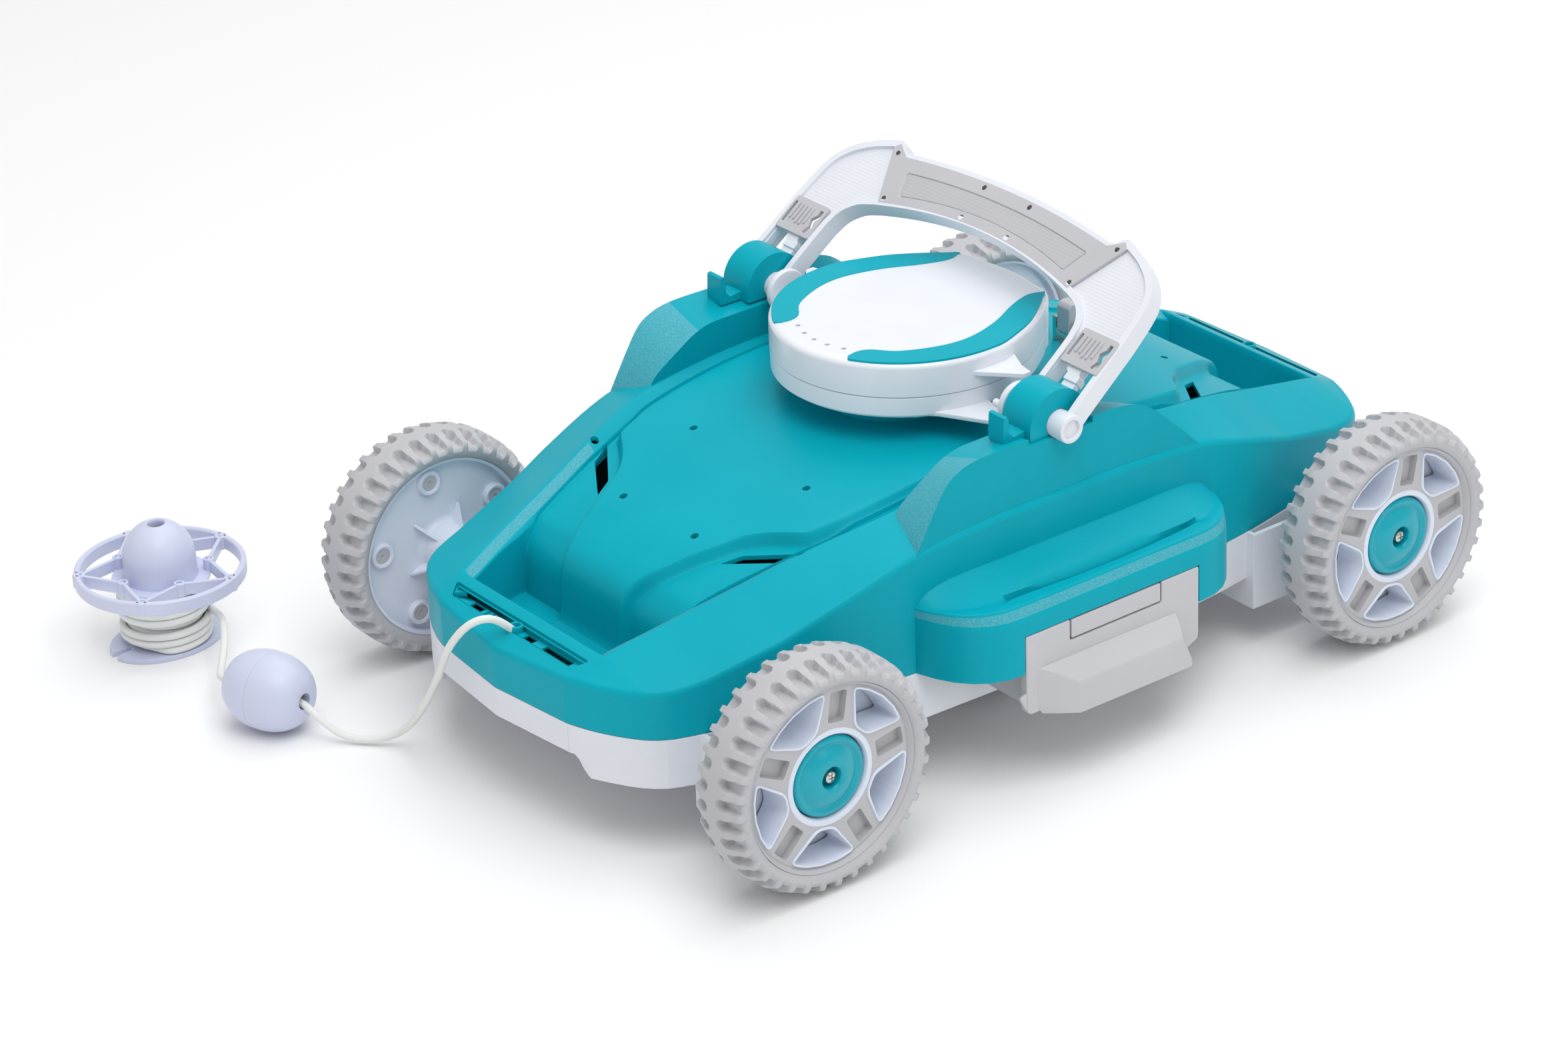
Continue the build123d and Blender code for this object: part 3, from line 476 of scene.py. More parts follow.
# ---------------------------------------------------------------- body shell
def shell_columns():
    """Columns across the right half: (place, share of the channel's drop, rise of the wall)."""
    made = [("panel", share, 0.0) for share in (0, 0.2, 0.4, 0.6, 0.78, 0.9, 0.97)]
    made += [("step", out, drop) for out, drop in
             ((-1.2, 0.02), (-0.3, 0.12), (0.5, 0.35), (1.5, 0.7), (2.4, 0.92), (3.6, 1.0))]
    made += [("channel", share, 1.0) for share in (0.3, 0.65, 1.0)]
    made += [("wall", out, rise) for out, rise in
             ((-8.7, 0.5), (-8.1, 2.2), (-7.6, -5.4), (-7.1, -4.4), (-6.4, -3.9), (-1.2, -0.75),
              (0.0, -0.2), (1.3, 0.0))]
    made += [("frame", share, 0.0) for share in (0.25, 0.5, 0.75, 1.0)]
    return made


def shell_rows():
    """Rows from the middle to the nose: (y, panel height, share of the front wall)."""
    steps = [0, -12, -24, -36, -48, -60, -71, -81, -90, -97, -102, -106, -109, -112, -115, -118,
             -121, -124, -127, -130, -134, -138, -142, -146, -150, -155, -161, -167, -173, -179,
             -184]
    made = [(y, read(DECK_TABLE, y)[0], None) for y in steps]
    made += [(y, z, None) for y, z in
             ((-188, 113.9), (-191.5, 112.0), (-194.6, 109.8), (-197.2, 107.0), (-199.3, 103.5),
              (-200.8, 99.2), (-201.7, 94), (-202.3, 86), (-202.9, 78), (-203.6, 74.6),
              (-205.2, 72.7), (-208, 72), (-216, 72), (-225, 72), (-231, 72))]
    made += [(-234.4, 72, 0.6), (-235.6, 72, 2.4), (-236.2, 72, -5.0), (-236.7, 72, -1.4),
             (-237.3, 72, -0.35), (-238.6, 72, 0.0)]
    return made


def shell_point(column, row, nose):
    """Place of a shell vertex on a column and row, nose running from 0 to 1 past the rail."""
    kind, out, rise = column
    y, panel, front = row
    half = read(CROWN_TABLE, y)[0]
    edge = min(read(PANEL_TABLE, y)[0], half - 13.2)
    side = read(SIDE_TABLE, y)[0] - RIM_INSET
    drop = rise if kind == "step" else (0.0 if kind in ("panel", "frame") else 1.0)
    x = {"panel": out * (edge - 1.6), "step": edge + out,
         "channel": edge + 3.6 + (half - 9.6 - edge - 3.6) * out, "wall": half + out,
         "frame": half + 1.3 + (side - half - 1.3) * out}[kind]
    # the channel beside the panel is lower, and its front sits further back
    depth = 7.0 - 2.6 * ease(y, -116, -100)
    back = 4.0 * ease(y, -212, -204) * (1 - ease(y, -196, -182))
    top = frame_top(x, y)
    floor = max(panel - drop * depth, POCKET_Z)
    z = floor
    if kind == "wall":
        z = max(floor + rise, top - 5.4) if 0 < rise else max(floor, top + rise)
        if out < -8.0:
            z = min(floor + rise, top)
    if kind == "frame":
        z = top
    if front is not None and z < top:
        z = max(z, POCKET_Z + front if front > 0 else top + front)
    if kind in ("step", "channel") or (kind == "wall" and out < -7):
        y += back * drop
    if nose:
        x *= 1 - nose * (1 - 80.0 / 93.5)
        y = y + (read(NOSE_TABLE, x)[0] + RIM_INSET - y) * nose
        z = frame_top(x, y)
    return Vector((x, y, z))


def on_rim(x, y):
    """Nearest point of the top's outer edge."""
    here, found = Vector((x, y)), []
    for start, end in zip(RIM, RIM[1:]):
        spot, share = intersect_point_line(here, Vector(start), Vector(end))
        spot = Vector(start).lerp(Vector(end), min(max(share, 0.0), 1.0))
        found.append(((spot - here).length, spot.x, spot.y))
    return min(found)[1:]


def ring(bm, out, level):
    """Grows the open border outwards to a new height, given as a function of the old one."""
    border = [e for e in bm.edges if e.is_boundary]
    push = {}
    for edge in border:
        a, b = edge.verts
        along = (b.co - a.co).to_2d()
        normal = Vector((along.y, -along.x)).normalized()
        inside = edge.link_faces[0].calc_center_median().to_2d()
        if along.length > 1e-6 and normal.dot((a.co + b.co).to_2d() / 2 - inside) < 0:
            normal = -normal
        for vert in (a, b):
            push[vert] = push.get(vert, Vector((0, 0))) + normal
    moves = {tuple(v.co): p.normalized() * out for v, p in push.items()}
    for vert in new_verts(bmesh.ops.extrude_edge_only(bm, edges=border)):
        move = moves[tuple(vert.co)]
        vert.co = Vector((vert.co.x + move.x, vert.co.y + move.y, level(vert.co.z)))


def body_mesh():
    """The body's top and sides as one skin, before its openings."""
    columns, rows = shell_columns(), shell_rows()
    tail = [0.25, 0.55, 0.8, 1.0]
    bm = bmesh.new()
    count_x, count_y = len(columns), len(rows) + len(tail)
    bmesh.ops.create_grid(bm, x_segments=count_x - 1, y_segments=count_y - 1, size=1)
    band = set()
    for vert in bm.verts:
        i = round((vert.co.x + 1) / 2 * (count_x - 1))
        j = round((vert.co.y + 1) / 2 * (count_y - 1))
        row = rows[min(j, len(rows) - 1)]
        nose = tail[j - len(rows)] if j >= len(rows) else 0.0
        vert.co = shell_point(columns[i], row, nose)
        if (i == count_x - 1 or j == count_y - 1) and i > 0 and j > 0:
            x, y = on_rim(vert.co.x, vert.co.y)
            vert.co = Vector((x, y, frame_top(x, y)))
        if columns[i][0] == "wall" and -6.5 <= columns[i][1] <= -1.0 and -236 < row[0] < -136:
            band.add(vert)
    for face in bm.faces:
        face.material_index = 1 if all(v in band for v in face.verts) else 0
    for axis in ("X", "Y"):
        bmesh.ops.mirror(bm, geom=bm.verts[:] + bm.edges[:] + bm.faces[:], axis=axis,
                         merge_dist=0.02)
    bmesh.ops.remove_doubles(bm, verts=bm.verts, dist=0.01)
    outwards(bm)
    # rounded edge, then straight down to the seam
    for out, fall in ((1.3, 0.35), (1.0, 0.85), (0.6, 1.3), (0.3, 1.6)):
        ring(bm, out, lambda z: z - fall)
    ring(bm, 0.0, lambda z: SEAM_Z + 0.4)
    outwards(bm)
    if sum(f.normal.z for f in bm.faces) < 0:
        bmesh.ops.reverse_faces(bm, faces=bm.faces)
    return bm


def build_shell(sizes):
    """Body shell with its deck, nose slots, deck slots and holes."""
    bm = body_mesh()
    bmesh.ops.solidify(bm, geom=bm.faces[:], thickness=SHELL_T)
    cutter = bmesh.new()
    for sx in (1, -1):
        for sy in (1, -1):
            for x, y, r in ((30, -157, 2.1), (47, -99, 2.1), (86.5, -134, 2.2)):
                tube(cutter, (sx * x, sy * y, 100), (sx * x, sy * y, 160), r, steps=20)
            slot = [(51.5, -158), (56.5, -147.5), (82, -129.5), (76.5, -141.5)]
            slab(cutter, rounded([(sx * x, sy * y) for x, y in slot], 1.2), 95, 140)
    for sy in (1, -1):
        mouth = [(-57, -243), (57, -243), (51, -250.5), (-51, -250.5)]
        slab(cutter, rounded([(x, sy * y) for x, y in mouth], 2.5), 60, 120)
    slab(cutter, [(34 * cos(a), 34 * sin(a)) for a in
                  [2 * pi * k / 48 for k in range(48)]], 120, 170)
    for y in (-AXLE_Y, AXLE_Y):
        tube(cutter, (-150, y, WHEEL_R), (150, y, WHEEL_R), 6.0, steps=24)
    bm = carve(bm, cutter)
    return placed(bm, "body_shell", "chassis", "teal_shell",
                  [FINISH["teal"], FINISH["teal_grained"]], ["top_shell"], angle=33)


def build_skirt(sizes):
    """White skirt under the body, with the lifted lip at its two ends."""
    bm = bmesh.new()
    outline = four_way(PLAN)
    verts = [bm.verts.new((x, y, SEAM_Z - 0.3)) for x, y in outline]
    for a, b in zip(verts, verts[1:] + verts[:1]):
        bm.edges.new((a, b))
    bmesh.ops.subdivide_edges(bm, edges=[e for e in bm.edges if e.calc_length() > 20], cuts=6)
    for vert in new_verts(bmesh.ops.extrude_edge_only(bm, edges=bm.edges[:])):
        lip = 11.0 * (1 - ease(abs(vert.co.x), 57, 66)) if abs(vert.co.y) > 200 else 0.0
        vert.co.z = 38.0 + lip
    outwards(bm)
    bmesh.ops.solidify(bm, geom=bm.faces[:], thickness=1.8)
    outwards(bm)
    return placed(bm, "pan_skirt", "chassis", "white_pan", [FINISH["white"]],
                  bevel=0.7, segments=2)


# outer and inner side of a pivot fin, from front to rear: (y, z)
FIN_OUT = [(-100, 118), (-94, 129.6), (-84, 146.4), (-76.5, 158), (-71, 163.6), (-62.3, 167.4),
           (-53.2, 168.9), (-42, 169.2), (-25, 168.9), (21, 168.6), (38, 168), (50, 165.6),
           (60, 160.4), (75.8, 146.5), (94.6, 128.3), (102, 118)]
FIN_IN = [(-93, 118), (-89, 134), (-84, 142.4), (-75.5, 148.6), (-68, 153.2), (-60, 158),
          (-53.5, 161), (-45, 163), (-30, 163.4), (21, 163.4), (34, 162.8), (45, 160.2),
          (54, 154.6), (68, 143.5), (84, 130), (94, 118)]


def build_fins(sizes):
    """Fins that carry the arch's pivots, with a grained front facet."""
    bm = bmesh.new()
    rings = []
    for x, profile in ((101.5, FIN_IN), (127.5, FIN_OUT)):
        smooth = profile[:1] + smooth_path(profile[1:-1], 3) + profile[-1:]
        rings.append([bm.verts.new((x, y, z)) for y, z in smooth])
    edges = []
    for loop in rings:
        bm.faces.new(loop)
        edges += [bm.edges.get(pair) for pair in zip(loop, loop[1:] + loop[:1])]
    bmesh.ops.bridge_loops(bm, edges=edges)
    outwards(bm)
    for face in bm.faces:
        middle = face.calc_center_median()
        if abs(face.normal.x) < 0.9 and middle.y < -52 and middle.z > 125:
            face.material_index = 1
    cutter = bmesh.new()
    block(cutter, (95, -21, 165.2), (135, 21, 190))
    tube(cutter, (90, 0, PIVOT_Z), (140, 0, PIVOT_Z), PIVOT_R + 0.4, steps=32)
    bm = carve(bm, cutter)
    flipped(bm)
    return placed(bm, "pivot_fins", "chassis", "teal_shell",
                  [FINISH["teal"], FINISH["teal_grained"]], bevel=1.5, bevel_angle=40)


# half plan of the pods' outer face from front to rear: (x, y)
POD_PLAN = [(118, -98), (128, -96.5), (139, -93), (148, -88.5), (155.5, -82.5), (161, -75),
            (164.2, -66.5), (165, -58), (165, DOOR_Y0 + 0.01), (165, DOOR_Y1),
            (165, 62), (164.2, 70.5), (161, 79), (155.5, 86.5), (148, 92.5), (139, 97),
            (128, 100.5), (118, 102)]
# across a pod at full width: (x, z, depth of the finger slot here)
POD_SECTION = [(118, 116.5, 0), (126, 113, 0), (129.5, 111.6, 0), (131, 111, 0), (132.6, 110, 0),
               (138, 107.6, 0), (145, 104.9, 0), (149.5, 103.6, 0.8), (152, 102.9, 3.0),
               (153, 102.8, 6.5), (155.2, 102.8, 6.5), (155.9, 102.8, 2.0), (156.8, 102.8, 0),
               (160.4, 102.7, 0), (161.6, 102.3, 0), (162.3, 101.2, 0), (164.2, 96.4, 0),
               (164.7, 95, 0), (165, 93, 0), (165, DOOR_Z1, 0), (165, 78, 0), (165, SEAM_Z, 0)]
POD_LIP = 15               # step of the section that is the grained lip


def build_pods(sizes):
    """Side pods with their finger slot, grained lip and door opening."""
    plan = []
    for (x0, y0), (x1, y1) in zip(POD_PLAN, POD_PLAN[1:]):
        cuts = 10 if y1 - y0 > 50 else 2
        plan += [(x0 + (x1 - x0) * k / cuts, y0 + (y1 - y0) * k / cuts) for k in range(cuts)]
    plan.append(POD_PLAN[-1])
    bm = bmesh.new()
    count_u, count_v = len(POD_SECTION), len(plan)
    bmesh.ops.create_grid(bm, x_segments=count_u - 1, y_segments=count_v - 1, size=1)
    for face in bm.faces:
        across = (face.calc_center_median().x + 1) / 2 * (count_u - 1)
        face.material_index = 1 if int(across) == POD_LIP else 0
    drop = []
    for vert in bm.verts:
        u = round((vert.co.x + 1) / 2 * (count_u - 1))
        v = round((vert.co.y + 1) / 2 * (count_v - 1))
        x, z, deep = POD_SECTION[u]
        px, py = plan[v]
        reach = (px - 118) / 47
        slot = ease(py, -62, -50) * (1 - ease(py, 64, 73))
        bow = 3.0 * (py - 5) ** 2 / 60 ** 2 if 150 < x < 158 and slot else 0.0
        vert.co = Vector((118 + (x - 118) * reach - bow * min(slot + 0.3, 1), py,
                          z - deep * slot - (1 - reach) * max(z - 98, 0) * 0.35))
    for face in bm.faces:
        middle = face.calc_center_median()
        if middle.x > 164.5 and DOOR_Y0 < middle.y < DOOR_Y1 and middle.z < DOOR_Z1:
            drop.append(face)
    bmesh.ops.delete(bm, geom=drop, context="FACES")
    outwards(bm)
    if sum(f.normal.x for f in bm.faces) < 0:
        bmesh.ops.reverse_faces(bm, faces=bm.faces)
    bmesh.ops.solidify(bm, geom=bm.faces[:], thickness=SHELL_T)
    flipped(bm)
    return placed(bm, "side_pods", "chassis", "teal_shell",
                  [FINISH["teal"], FINISH["teal_grained"]], angle=38)


# ---------------------------------------------------------------- wheels
# shoulder of a tyre: (radius, distance from its middle)
TREAD_PROFILE = [(50.0, 15.6), (52.5, 16.8), (55.5, 17.4), (57.2, 17.2), (58.5, 16.4)]
SLOTS = 36                 # tread slots in each row


def tyre_mesh():
    """Tyre about Z with two staggered rows of tapering U-shaped slots."""
    crown = []
    for step in range(45):
        w = 15.6 - 31.2 * step / 44
        crown.append((59.0 + 3.0 * (1 - ease(abs(w), 5, 16.4) ** 1.3), w))
    profile = TREAD_PROFILE + crown + [(r, -w) for r, w in reversed(TREAD_PROFILE)]
    profile = [(49.6, 12.0)] + profile + [(49.6, -12.0)]
    bm = bmesh.new()
    turned(bm, profile + profile[:1], Matrix(), steps=SLOTS * 20)
    bmesh.ops.remove_doubles(bm, verts=bm.verts, dist=0.002)
    pitch = 2 * pi / SLOTS
    for vert in bm.verts:
        radius = hypot(vert.co.x, vert.co.y)
        if radius < 54:
            continue
        w = vert.co.z
        turn = (atan2(vert.co.y, vert.co.x) / pitch + (0.0 if w > 0 else 0.5)) % 1.0 - 0.5
        across, along = abs(turn) * pitch * 60.0, abs(w)
        half = 2.75 + 0.75 * ease(along, 6, 17)
        nib = max(0.0, 4.0 + half - along)
        spread = hypot(across, nib) if nib > 0 else across
        inside = 1 - ease(spread, half - 0.5, half + 0.2)
        deep = 5.0 * (1 - 0.42 * ease(along, 5, 17))
        cut = inside * deep * ease(radius, 54, 56.5)
        vert.co.x *= (radius - cut) / radius
        vert.co.y *= (radius - cut) / radius
    outwards(bm)
    return bm


def wedge(inner, outer, half_in, half_out, turn, radius):
    """Rounded outline of a cup or pocket in the wheel's plane, about a direction."""
    corners = [(inner, -half_in), (inner, half_in)]
    corners += [(outer * cos(a), outer * sin(a)) for a in (half_out, 0.5 * half_out, 0.0,
                                                           -0.5 * half_out, -half_out)]
    count = len(corners)
    radii = [radius] * 3 + [0.2] * (count - 4) + [radius]
    spin = Matrix.Rotation(turn, 2)
    return [tuple(spin @ Vector(p)) for p in rounded(corners[::-1], radii[::-1], 5)]


def rim_mesh(phase):
    """Rim about Z: grey spokes over a white dish with five cups, pockets, hub and gussets."""
    bm = bmesh.new()
    face = [(25.2, 12.6), (46.6, 12.6), (47.6, 12.2), (49.0, 14.6), (49.7, 15.2), (49.7, 6),
            (25.2, 6), (25.2, 12.6)]
    turned(bm, face, Matrix(), steps=120, mat=0)
    outwards(bm)
    cutter = bmesh.new()
    for step in range(5):
        turn = phase + 2 * pi * step / 5
        slab(cutter, wedge(26.4, 46.9, 5.6, radians(25.6), turn + pi / 5, 4.0), 0, 30)
        slab(cutter, wedge(28.8, 45.2, 4.9, radians(6.4), turn, 1.6), 8.2, 30)
    bm = carve(bm, cutter)
    walls = ((26.4, 46.9, 5.6, 25.6, 4.0, 11.8), (26.4, 46.9, 5.6, 25.6, 4.0, 13.1),
             (26.7, 46.6, 5.3, 25.2, 3.8, 13.5), (27.4, 45.9, 4.7, 24.4, 3.3, 13.5),
             (27.8, 45.5, 4.3, 23.9, 3.0, 13.0), (29.4, 44.0, 3.6, 21.8, 2.4, -2.8))
    for step in range(5):
        turn = phase + 2 * pi * (step + 0.5) / 5
        rings = [[bm.verts.new((x, y, level)) for x, y in
                  wedge(near, far, half, radians(spread), turn, radius)]
                 for near, far, half, spread, radius, level in walls]
        for upper, lower in zip(rings, rings[1:]):
            for k in range(len(upper)):
                quad = (upper[k - 1], upper[k], lower[k], lower[k - 1])
                bm.faces.new(quad).material_index = 1
    # white dish behind, hub ring and boss
    dish = [(21.9, 9.2), (22.3, 12.2), (23.0, 13.0), (25.0, 13.0), (25.6, 12.7), (25.6, -4),
            (47.6, -4), (48.0, -14.4), (49.7, -15.0), (49.7, -11.5), (47.0, -9.5), (17.5, -11.0),
            (14.6, -12.5), (13.4, -15), (12.9, -29.0), (12.4, -29.8), (6.5, -29.8), (4.4, -29.0),
            (4.2, 5.0), (21.9, 5.0), (21.9, 9.2)]
    turned(bm, dish, Matrix(), steps=96, mat=1)
    for step in range(5):
        turn = phase + 2 * pi * (step + 0.5) / 5
        spin = Matrix.Rotation(turn, 4, "Z")
        rib = spin @ Matrix(((1, 0, 0, 0), (0, 0, -1, 0), (0, 1, 0, 0), (0, 0, 0, 1)))
        slab(bm, [(12, -11), (24, -11), (24, -11.8), (13.2, -22), (12, -22)], -0.7, 0.7, rib, 1)
        spot = spin @ Matrix.Rotation(pi / 5, 4, "Z") @ Matrix.Translation((38.5, 0, 0))
        turned(bm, [(4.4, -9.5), (4.4, -12.3), (5.2, -12.9), (6.2, -12.9), (7.0, -12.0),
                    (7.0, -9.5)], spot, 28, 1)
        turned(bm, [(0.0, -11.2), (1.0, -11.2), (1.2, -11.9), (4.5, -11.9), (4.5, -9.5)],
               spot, 28, 0)
    outwards(bm)
    return bm


def cap_mesh():
    """Hub cap about Z: rounded edge, groove and a well for the screw."""
    bm = bmesh.new()
    profile = [(21.4, 6.0), (21.6, 9.2), (21.2, 11.2), (20.2, 12.4), (18.9, 12.6), (17.9, 12.0),
               (17.0, 11.5), (16.2, 11.7), (13.0, 13.6), (9.8, 14.7), (7.4, 14.9), (6.1, 14.4),
               (5.5, 13.2), (5.2, 8.0), (1.9, 8.0), (1.9, 6.0), (21.4, 6.0)]
    turned(bm, profile, Matrix(), steps=72)
    outwards(bm)
    return bm


def screw_mesh():
    """Pan-head cross screw about Z."""
    bm = bmesh.new()
    turned(bm, [(0, 14.0), (1.6, 13.9), (2.9, 13.2), (3.4, 12.0), (3.4, 11.2), (1.5, 11.0),
                (1.5, -2), (0, -2)], Matrix(), steps=32)
    outwards(bm)
    cutter = bmesh.new()
    block(cutter, (-1.9, -0.35, 12.7), (1.9, 0.35, 16))
    block(cutter, (-0.35, -1.9, 12.7), (0.35, 1.9, 16))
    return carve(bm, cutter)


def build_wheels(sizes):
    """Four wheels: tyre, rim, hub cap, and their screws."""
    screws = bmesh.new()
    for corner, side, y in CORNERS:
        hub = Matrix.Translation((side * TRACK_X, y, WHEEL_R)) @ sideways(side)
        body = f"wheel_{corner}"
        for name, mesh, slot, finish, look in (
                ("tyre", tyre_mesh(), "tyre_grey", ["tyre"], dict(angle=60, weighted=False)),
                ("rim", rim_mesh(radians(sizes.spoke_turn)), "rim_white", ["tyre", "rim"],
                 dict(bevel=0.45, segments=2, bevel_angle=45)),
                ("hub_cap", cap_mesh(), "teal_shell", ["teal_gloss"], dict(angle=50))):
            bmesh.ops.transform(mesh, matrix=hub, verts=mesh.verts)
            placed(mesh, f"{name}_look_{corner}", body, slot, [FINISH[f] for f in finish],
                   [f"{name}_{corner}"], **look)
        screw = screw_mesh()
        bmesh.ops.transform(screw, matrix=hub, verts=screw.verts)
        made = bpy.data.meshes.new("screw")
        screw.to_mesh(made)
        screws.from_mesh(made)
        screw.free()
        bpy.data.meshes.remove(made)
    return placed(screws, "wheel_screw_heads", "chassis", "steel", [FINISH["steel"]],
                  ["wheel_screws"], angle=30)


# ---------------------------------------------------------------- pump head
def head_plan(inset=0.0):
    """Outline of the head: round in front, drawn in to a blunt tail."""
    front = [(70 * cos(a), 4 + 70 * sin(a)) for a in (pi + pi * k / 48 for k in range(49))]
    side = smooth_path([(70, 3), (69.4, 14), (65, 27), (58.5, 41.5), (50, 54), (41.5, 64.5),
                        (33.5, 72.2)], 5)
    tail = rounded([(60, 49), (34, 73), (0, 78.5), (-34, 73), (-60, 49)], [0, 5, 60, 5, 0], 8)
    outline = front + side[2:-4] + [p for p in tail if p[1] > 66]
    outline += [(-x, y) for x, y in reversed(side[2:-4])]
    if not inset:
        return outline
    made = []
    count = len(outline)
    for index, here in enumerate(outline):
        along = Vector(outline[(index + 1) % count]) - Vector(outline[index - 1])
        out = Vector((along.y, -along.x)).normalized()
        made.append(tuple(Vector(here) - out * inset))
    return made


# inner edge of the right-hand crescent
TRIM_INNER = [(27.5, -55), (26.6, -48), (29.5, -41.5), (40.5, -32), (49.5, -13), (51.5, 5),
              (46, 26), (37, 44), (32.3, 56), (31.5, 63), (34.0, 69.5)]


def build_head(sizes):
    """Pump head: base, cover with vent holes, ears, neck and the two coloured crescents."""
    bm = bmesh.new()
    cover = sheet(bm, head_plan(), HEAD_SEAM_Z + 0.25)
    top = thickened(bm, cover, HEAD_Z1 - HEAD_SEAM_Z - 3.4)
    for inset, rise in ((0.35, 1.35), (0.85, 1.0), (1.2, 0.65), (1.5, 0.3), (2.5, 0.06)):
        bmesh.ops.inset_region(bm, faces=[top], thickness=inset, use_even_offset=True)
        bmesh.ops.translate(bm, verts=top.verts[:], vec=(0, 0, rise))
    outwards(bm)
    cutter = bmesh.new()
    for x in (-19.5, -10, -0.5, 9, 18.5):
        tube(cutter, (x, -54.5 + 0.012 * x * x, 180), (x, -54.5 + 0.012 * x * x, 200), 1.35,
             steps=20)
    bm = carve(bm, cutter)
    for sx in (1, -1):
        lug = [(62, -8), (69, -7.5), (88.5, 9.5), (88.5, 14), (80, 15.5), (66, 22), (60, 20)]
        slab(bm, [(sx * x, y) for x, y in lug], 179.4, 181.8)
        web = Matrix(((sx, 0, 0, 0), (0, 0, 1, 12.4), (0, 1, 0, 0), (0, 0, 0, 1)))
        slab(bm, [(66, 175), (84, 179.6), (66, 180)], -0.9, 0.9, web)
    outwards(bm)
    placed(bm, "head_cover_look", "chassis", "white_gloss", [FINISH["gloss"]], ["head_cover"],
           bevel=0.6, segments=2, bevel_angle=42)
    bm = bmesh.new()
    slab(bm, head_plan(0.25), HEAD_Z0 + 1.5, HEAD_SEAM_Z - 0.25)
    slab(bm, head_plan(2.2), HEAD_Z0, HEAD_Z0 + 1.5)
    slab(bm, head_plan(1.2), HEAD_SEAM_Z - 2, HEAD_SEAM_Z + 2)
    for sx in (1, -1):
        lug = [(52, -36), (64, -26), (88.5, -13), (90, -9), (88.5, -2.5), (70, 2), (60, 6)]
        slab(bm, [(sx * x, y) for x, y in lug], HEAD_Z0 + 0.4, HEAD_Z0 + 3.2)
    outwards(bm)
    placed(bm, "head_base_look", "chassis", "white_gloss", [FINISH["gloss"]], ["head_base"],
           bevel=0.7, segments=2, bevel_angle=42)
    bm = bmesh.new()
    band = smooth_path(TRIM_INNER, 5)
    edge = [p for p in head_plan(1.7) if p[0] > 27.0 and -60 < p[1] < 70.5]
    slab(bm, rounded(band + edge[::-1], 0.8, 2), HEAD_Z1 - 2.5, HEAD_Z1 + 0.7)
    outwards(bm)
    flipped(bm)
    return placed(bm, "head_crescents", "chassis", "teal_shell", [FINISH["teal"]],
                  ["head_trim_right", "head_trim_left"], bevel=0.5, segments=2, bevel_angle=42)


# ---------------------------------------------------------------- arch and grip
FACE_H = 2.3               # height of the arch's webs over its swinging plane
ARCH_LIP = 3.9             # width of the rim round them
# the arch's own plane, at rest
SLOPE = Matrix(((1, 0, 0, 0), (0, cos(ARCH_TILT), -sin(ARCH_TILT), 0),
                (0, sin(ARCH_TILT), cos(ARCH_TILT), PIVOT_Z), (0, 0, 0, 1)))


def build_arch(sizes):
    """Swinging arch: rimmed frame with dimpled webs, hollow journals and flanges."""
    outer = smooth_path([(134, -4.5), (134, 4), (133.2, 14), (132.2, 38), (131.2, 56),
                         (128, 76), (120, 87.5), (108, 95.5), (95, 100.6)], 5)
    crest = [(90, 102), (86.5, 100.3), (84.0, 97.2), (80, 96.4)]
    crest += bowed(96.4, 6.1, 80, range(72, 0, -8))
    half_out = outer + crest + [(0, 102.5)]
    inner = [(98, -4), (98, 12), (97.6, 34)]
    inner += smooth_path([(97.2, 42), (94.8, 51), (88, 58.3), (78, 62.3)], 5)
    inner += bowed(62.5, 10.9, 77, range(70, 0, -7))
    half_in = inner + [(0, 73.4)]
    right = half_in[::-1] + half_out
    outline = [(x, s) for x, s in right] + [(-x, s) for x, s in reversed(right[1:-1])]
    far = shifted(outer, ARCH_LIP) + [(84, 95.3), (76, 93.2)]
    far += bowed(92.5, 6.1, 80, range(68, 0, -8)) + [(0, 98.6)]
    near = shifted(inner, -ARCH_LIP) + [(0, 77.3)]
    web = far + [(-x, s) for x, s in far[-2::-1]] + [(-x, s) for x, s in near] + near[-2::-1]
    bm = bmesh.new()
    slab(bm, outline, FACE_H - 8.5, FACE_H + 1.9)
    outwards(bm)
    for low, high in ((FACE_H, FACE_H + 6), (FACE_H - 14, FACE_H - 4.3)):
        cutter = bmesh.new()
        slab(cutter, web, low, high)
        bm = carve(bm, cutter)
    cutter = bmesh.new()
    for centre in (115.0, -115.0):
        slab(cutter, rounded(oblong(centre - 13.2, -20, centre + 13.2, 47), 2), -30, 30)
    bm = carve(bm, cutter)
    for face in bm.faces:
        if abs(face.calc_center_median().z - FACE_H) < 0.05:
            face.material_index = 1
    # inner rails of the bolt's way, and the tie at its head
    for side in (1, -1):
        for x in (100.2, 129.6):
            slab(bm, oblong(side * (x - 0.8), -4, side * (x + 0.8), 46), -5.5, FACE_H - 0.6)
        slab(bm, oblong(side * 101, 46.3, side * 129, 48), -4.5, FACE_H - 1.2)
    bmesh.ops.transform(bm, matrix=SLOPE, verts=bm.verts)
    for side in (1, -1):
        tube(bm, (side * 98, 0, PIVOT_Z), (side * 136, 0, PIVOT_Z), PIVOT_R, 5.0, edge=0.8)
        tube(bm, (side * 92.4, 0, PIVOT_Z), (side * 96.6, 0, PIVOT_Z), 12, edge=1.2)
        tube(bm, (side * 84, -6, PIVOT_Z - 1), (side * 93, -6, PIVOT_Z - 1), 2.2, steps=20)
    outwards(bm)
    placed(bm, "arch_look", "arch", "arch_white", [FINISH["arch"], FINISH["arch_web"]],
           ["arch_frame"], bevel=0.9, segments=3, bevel_angle=38)


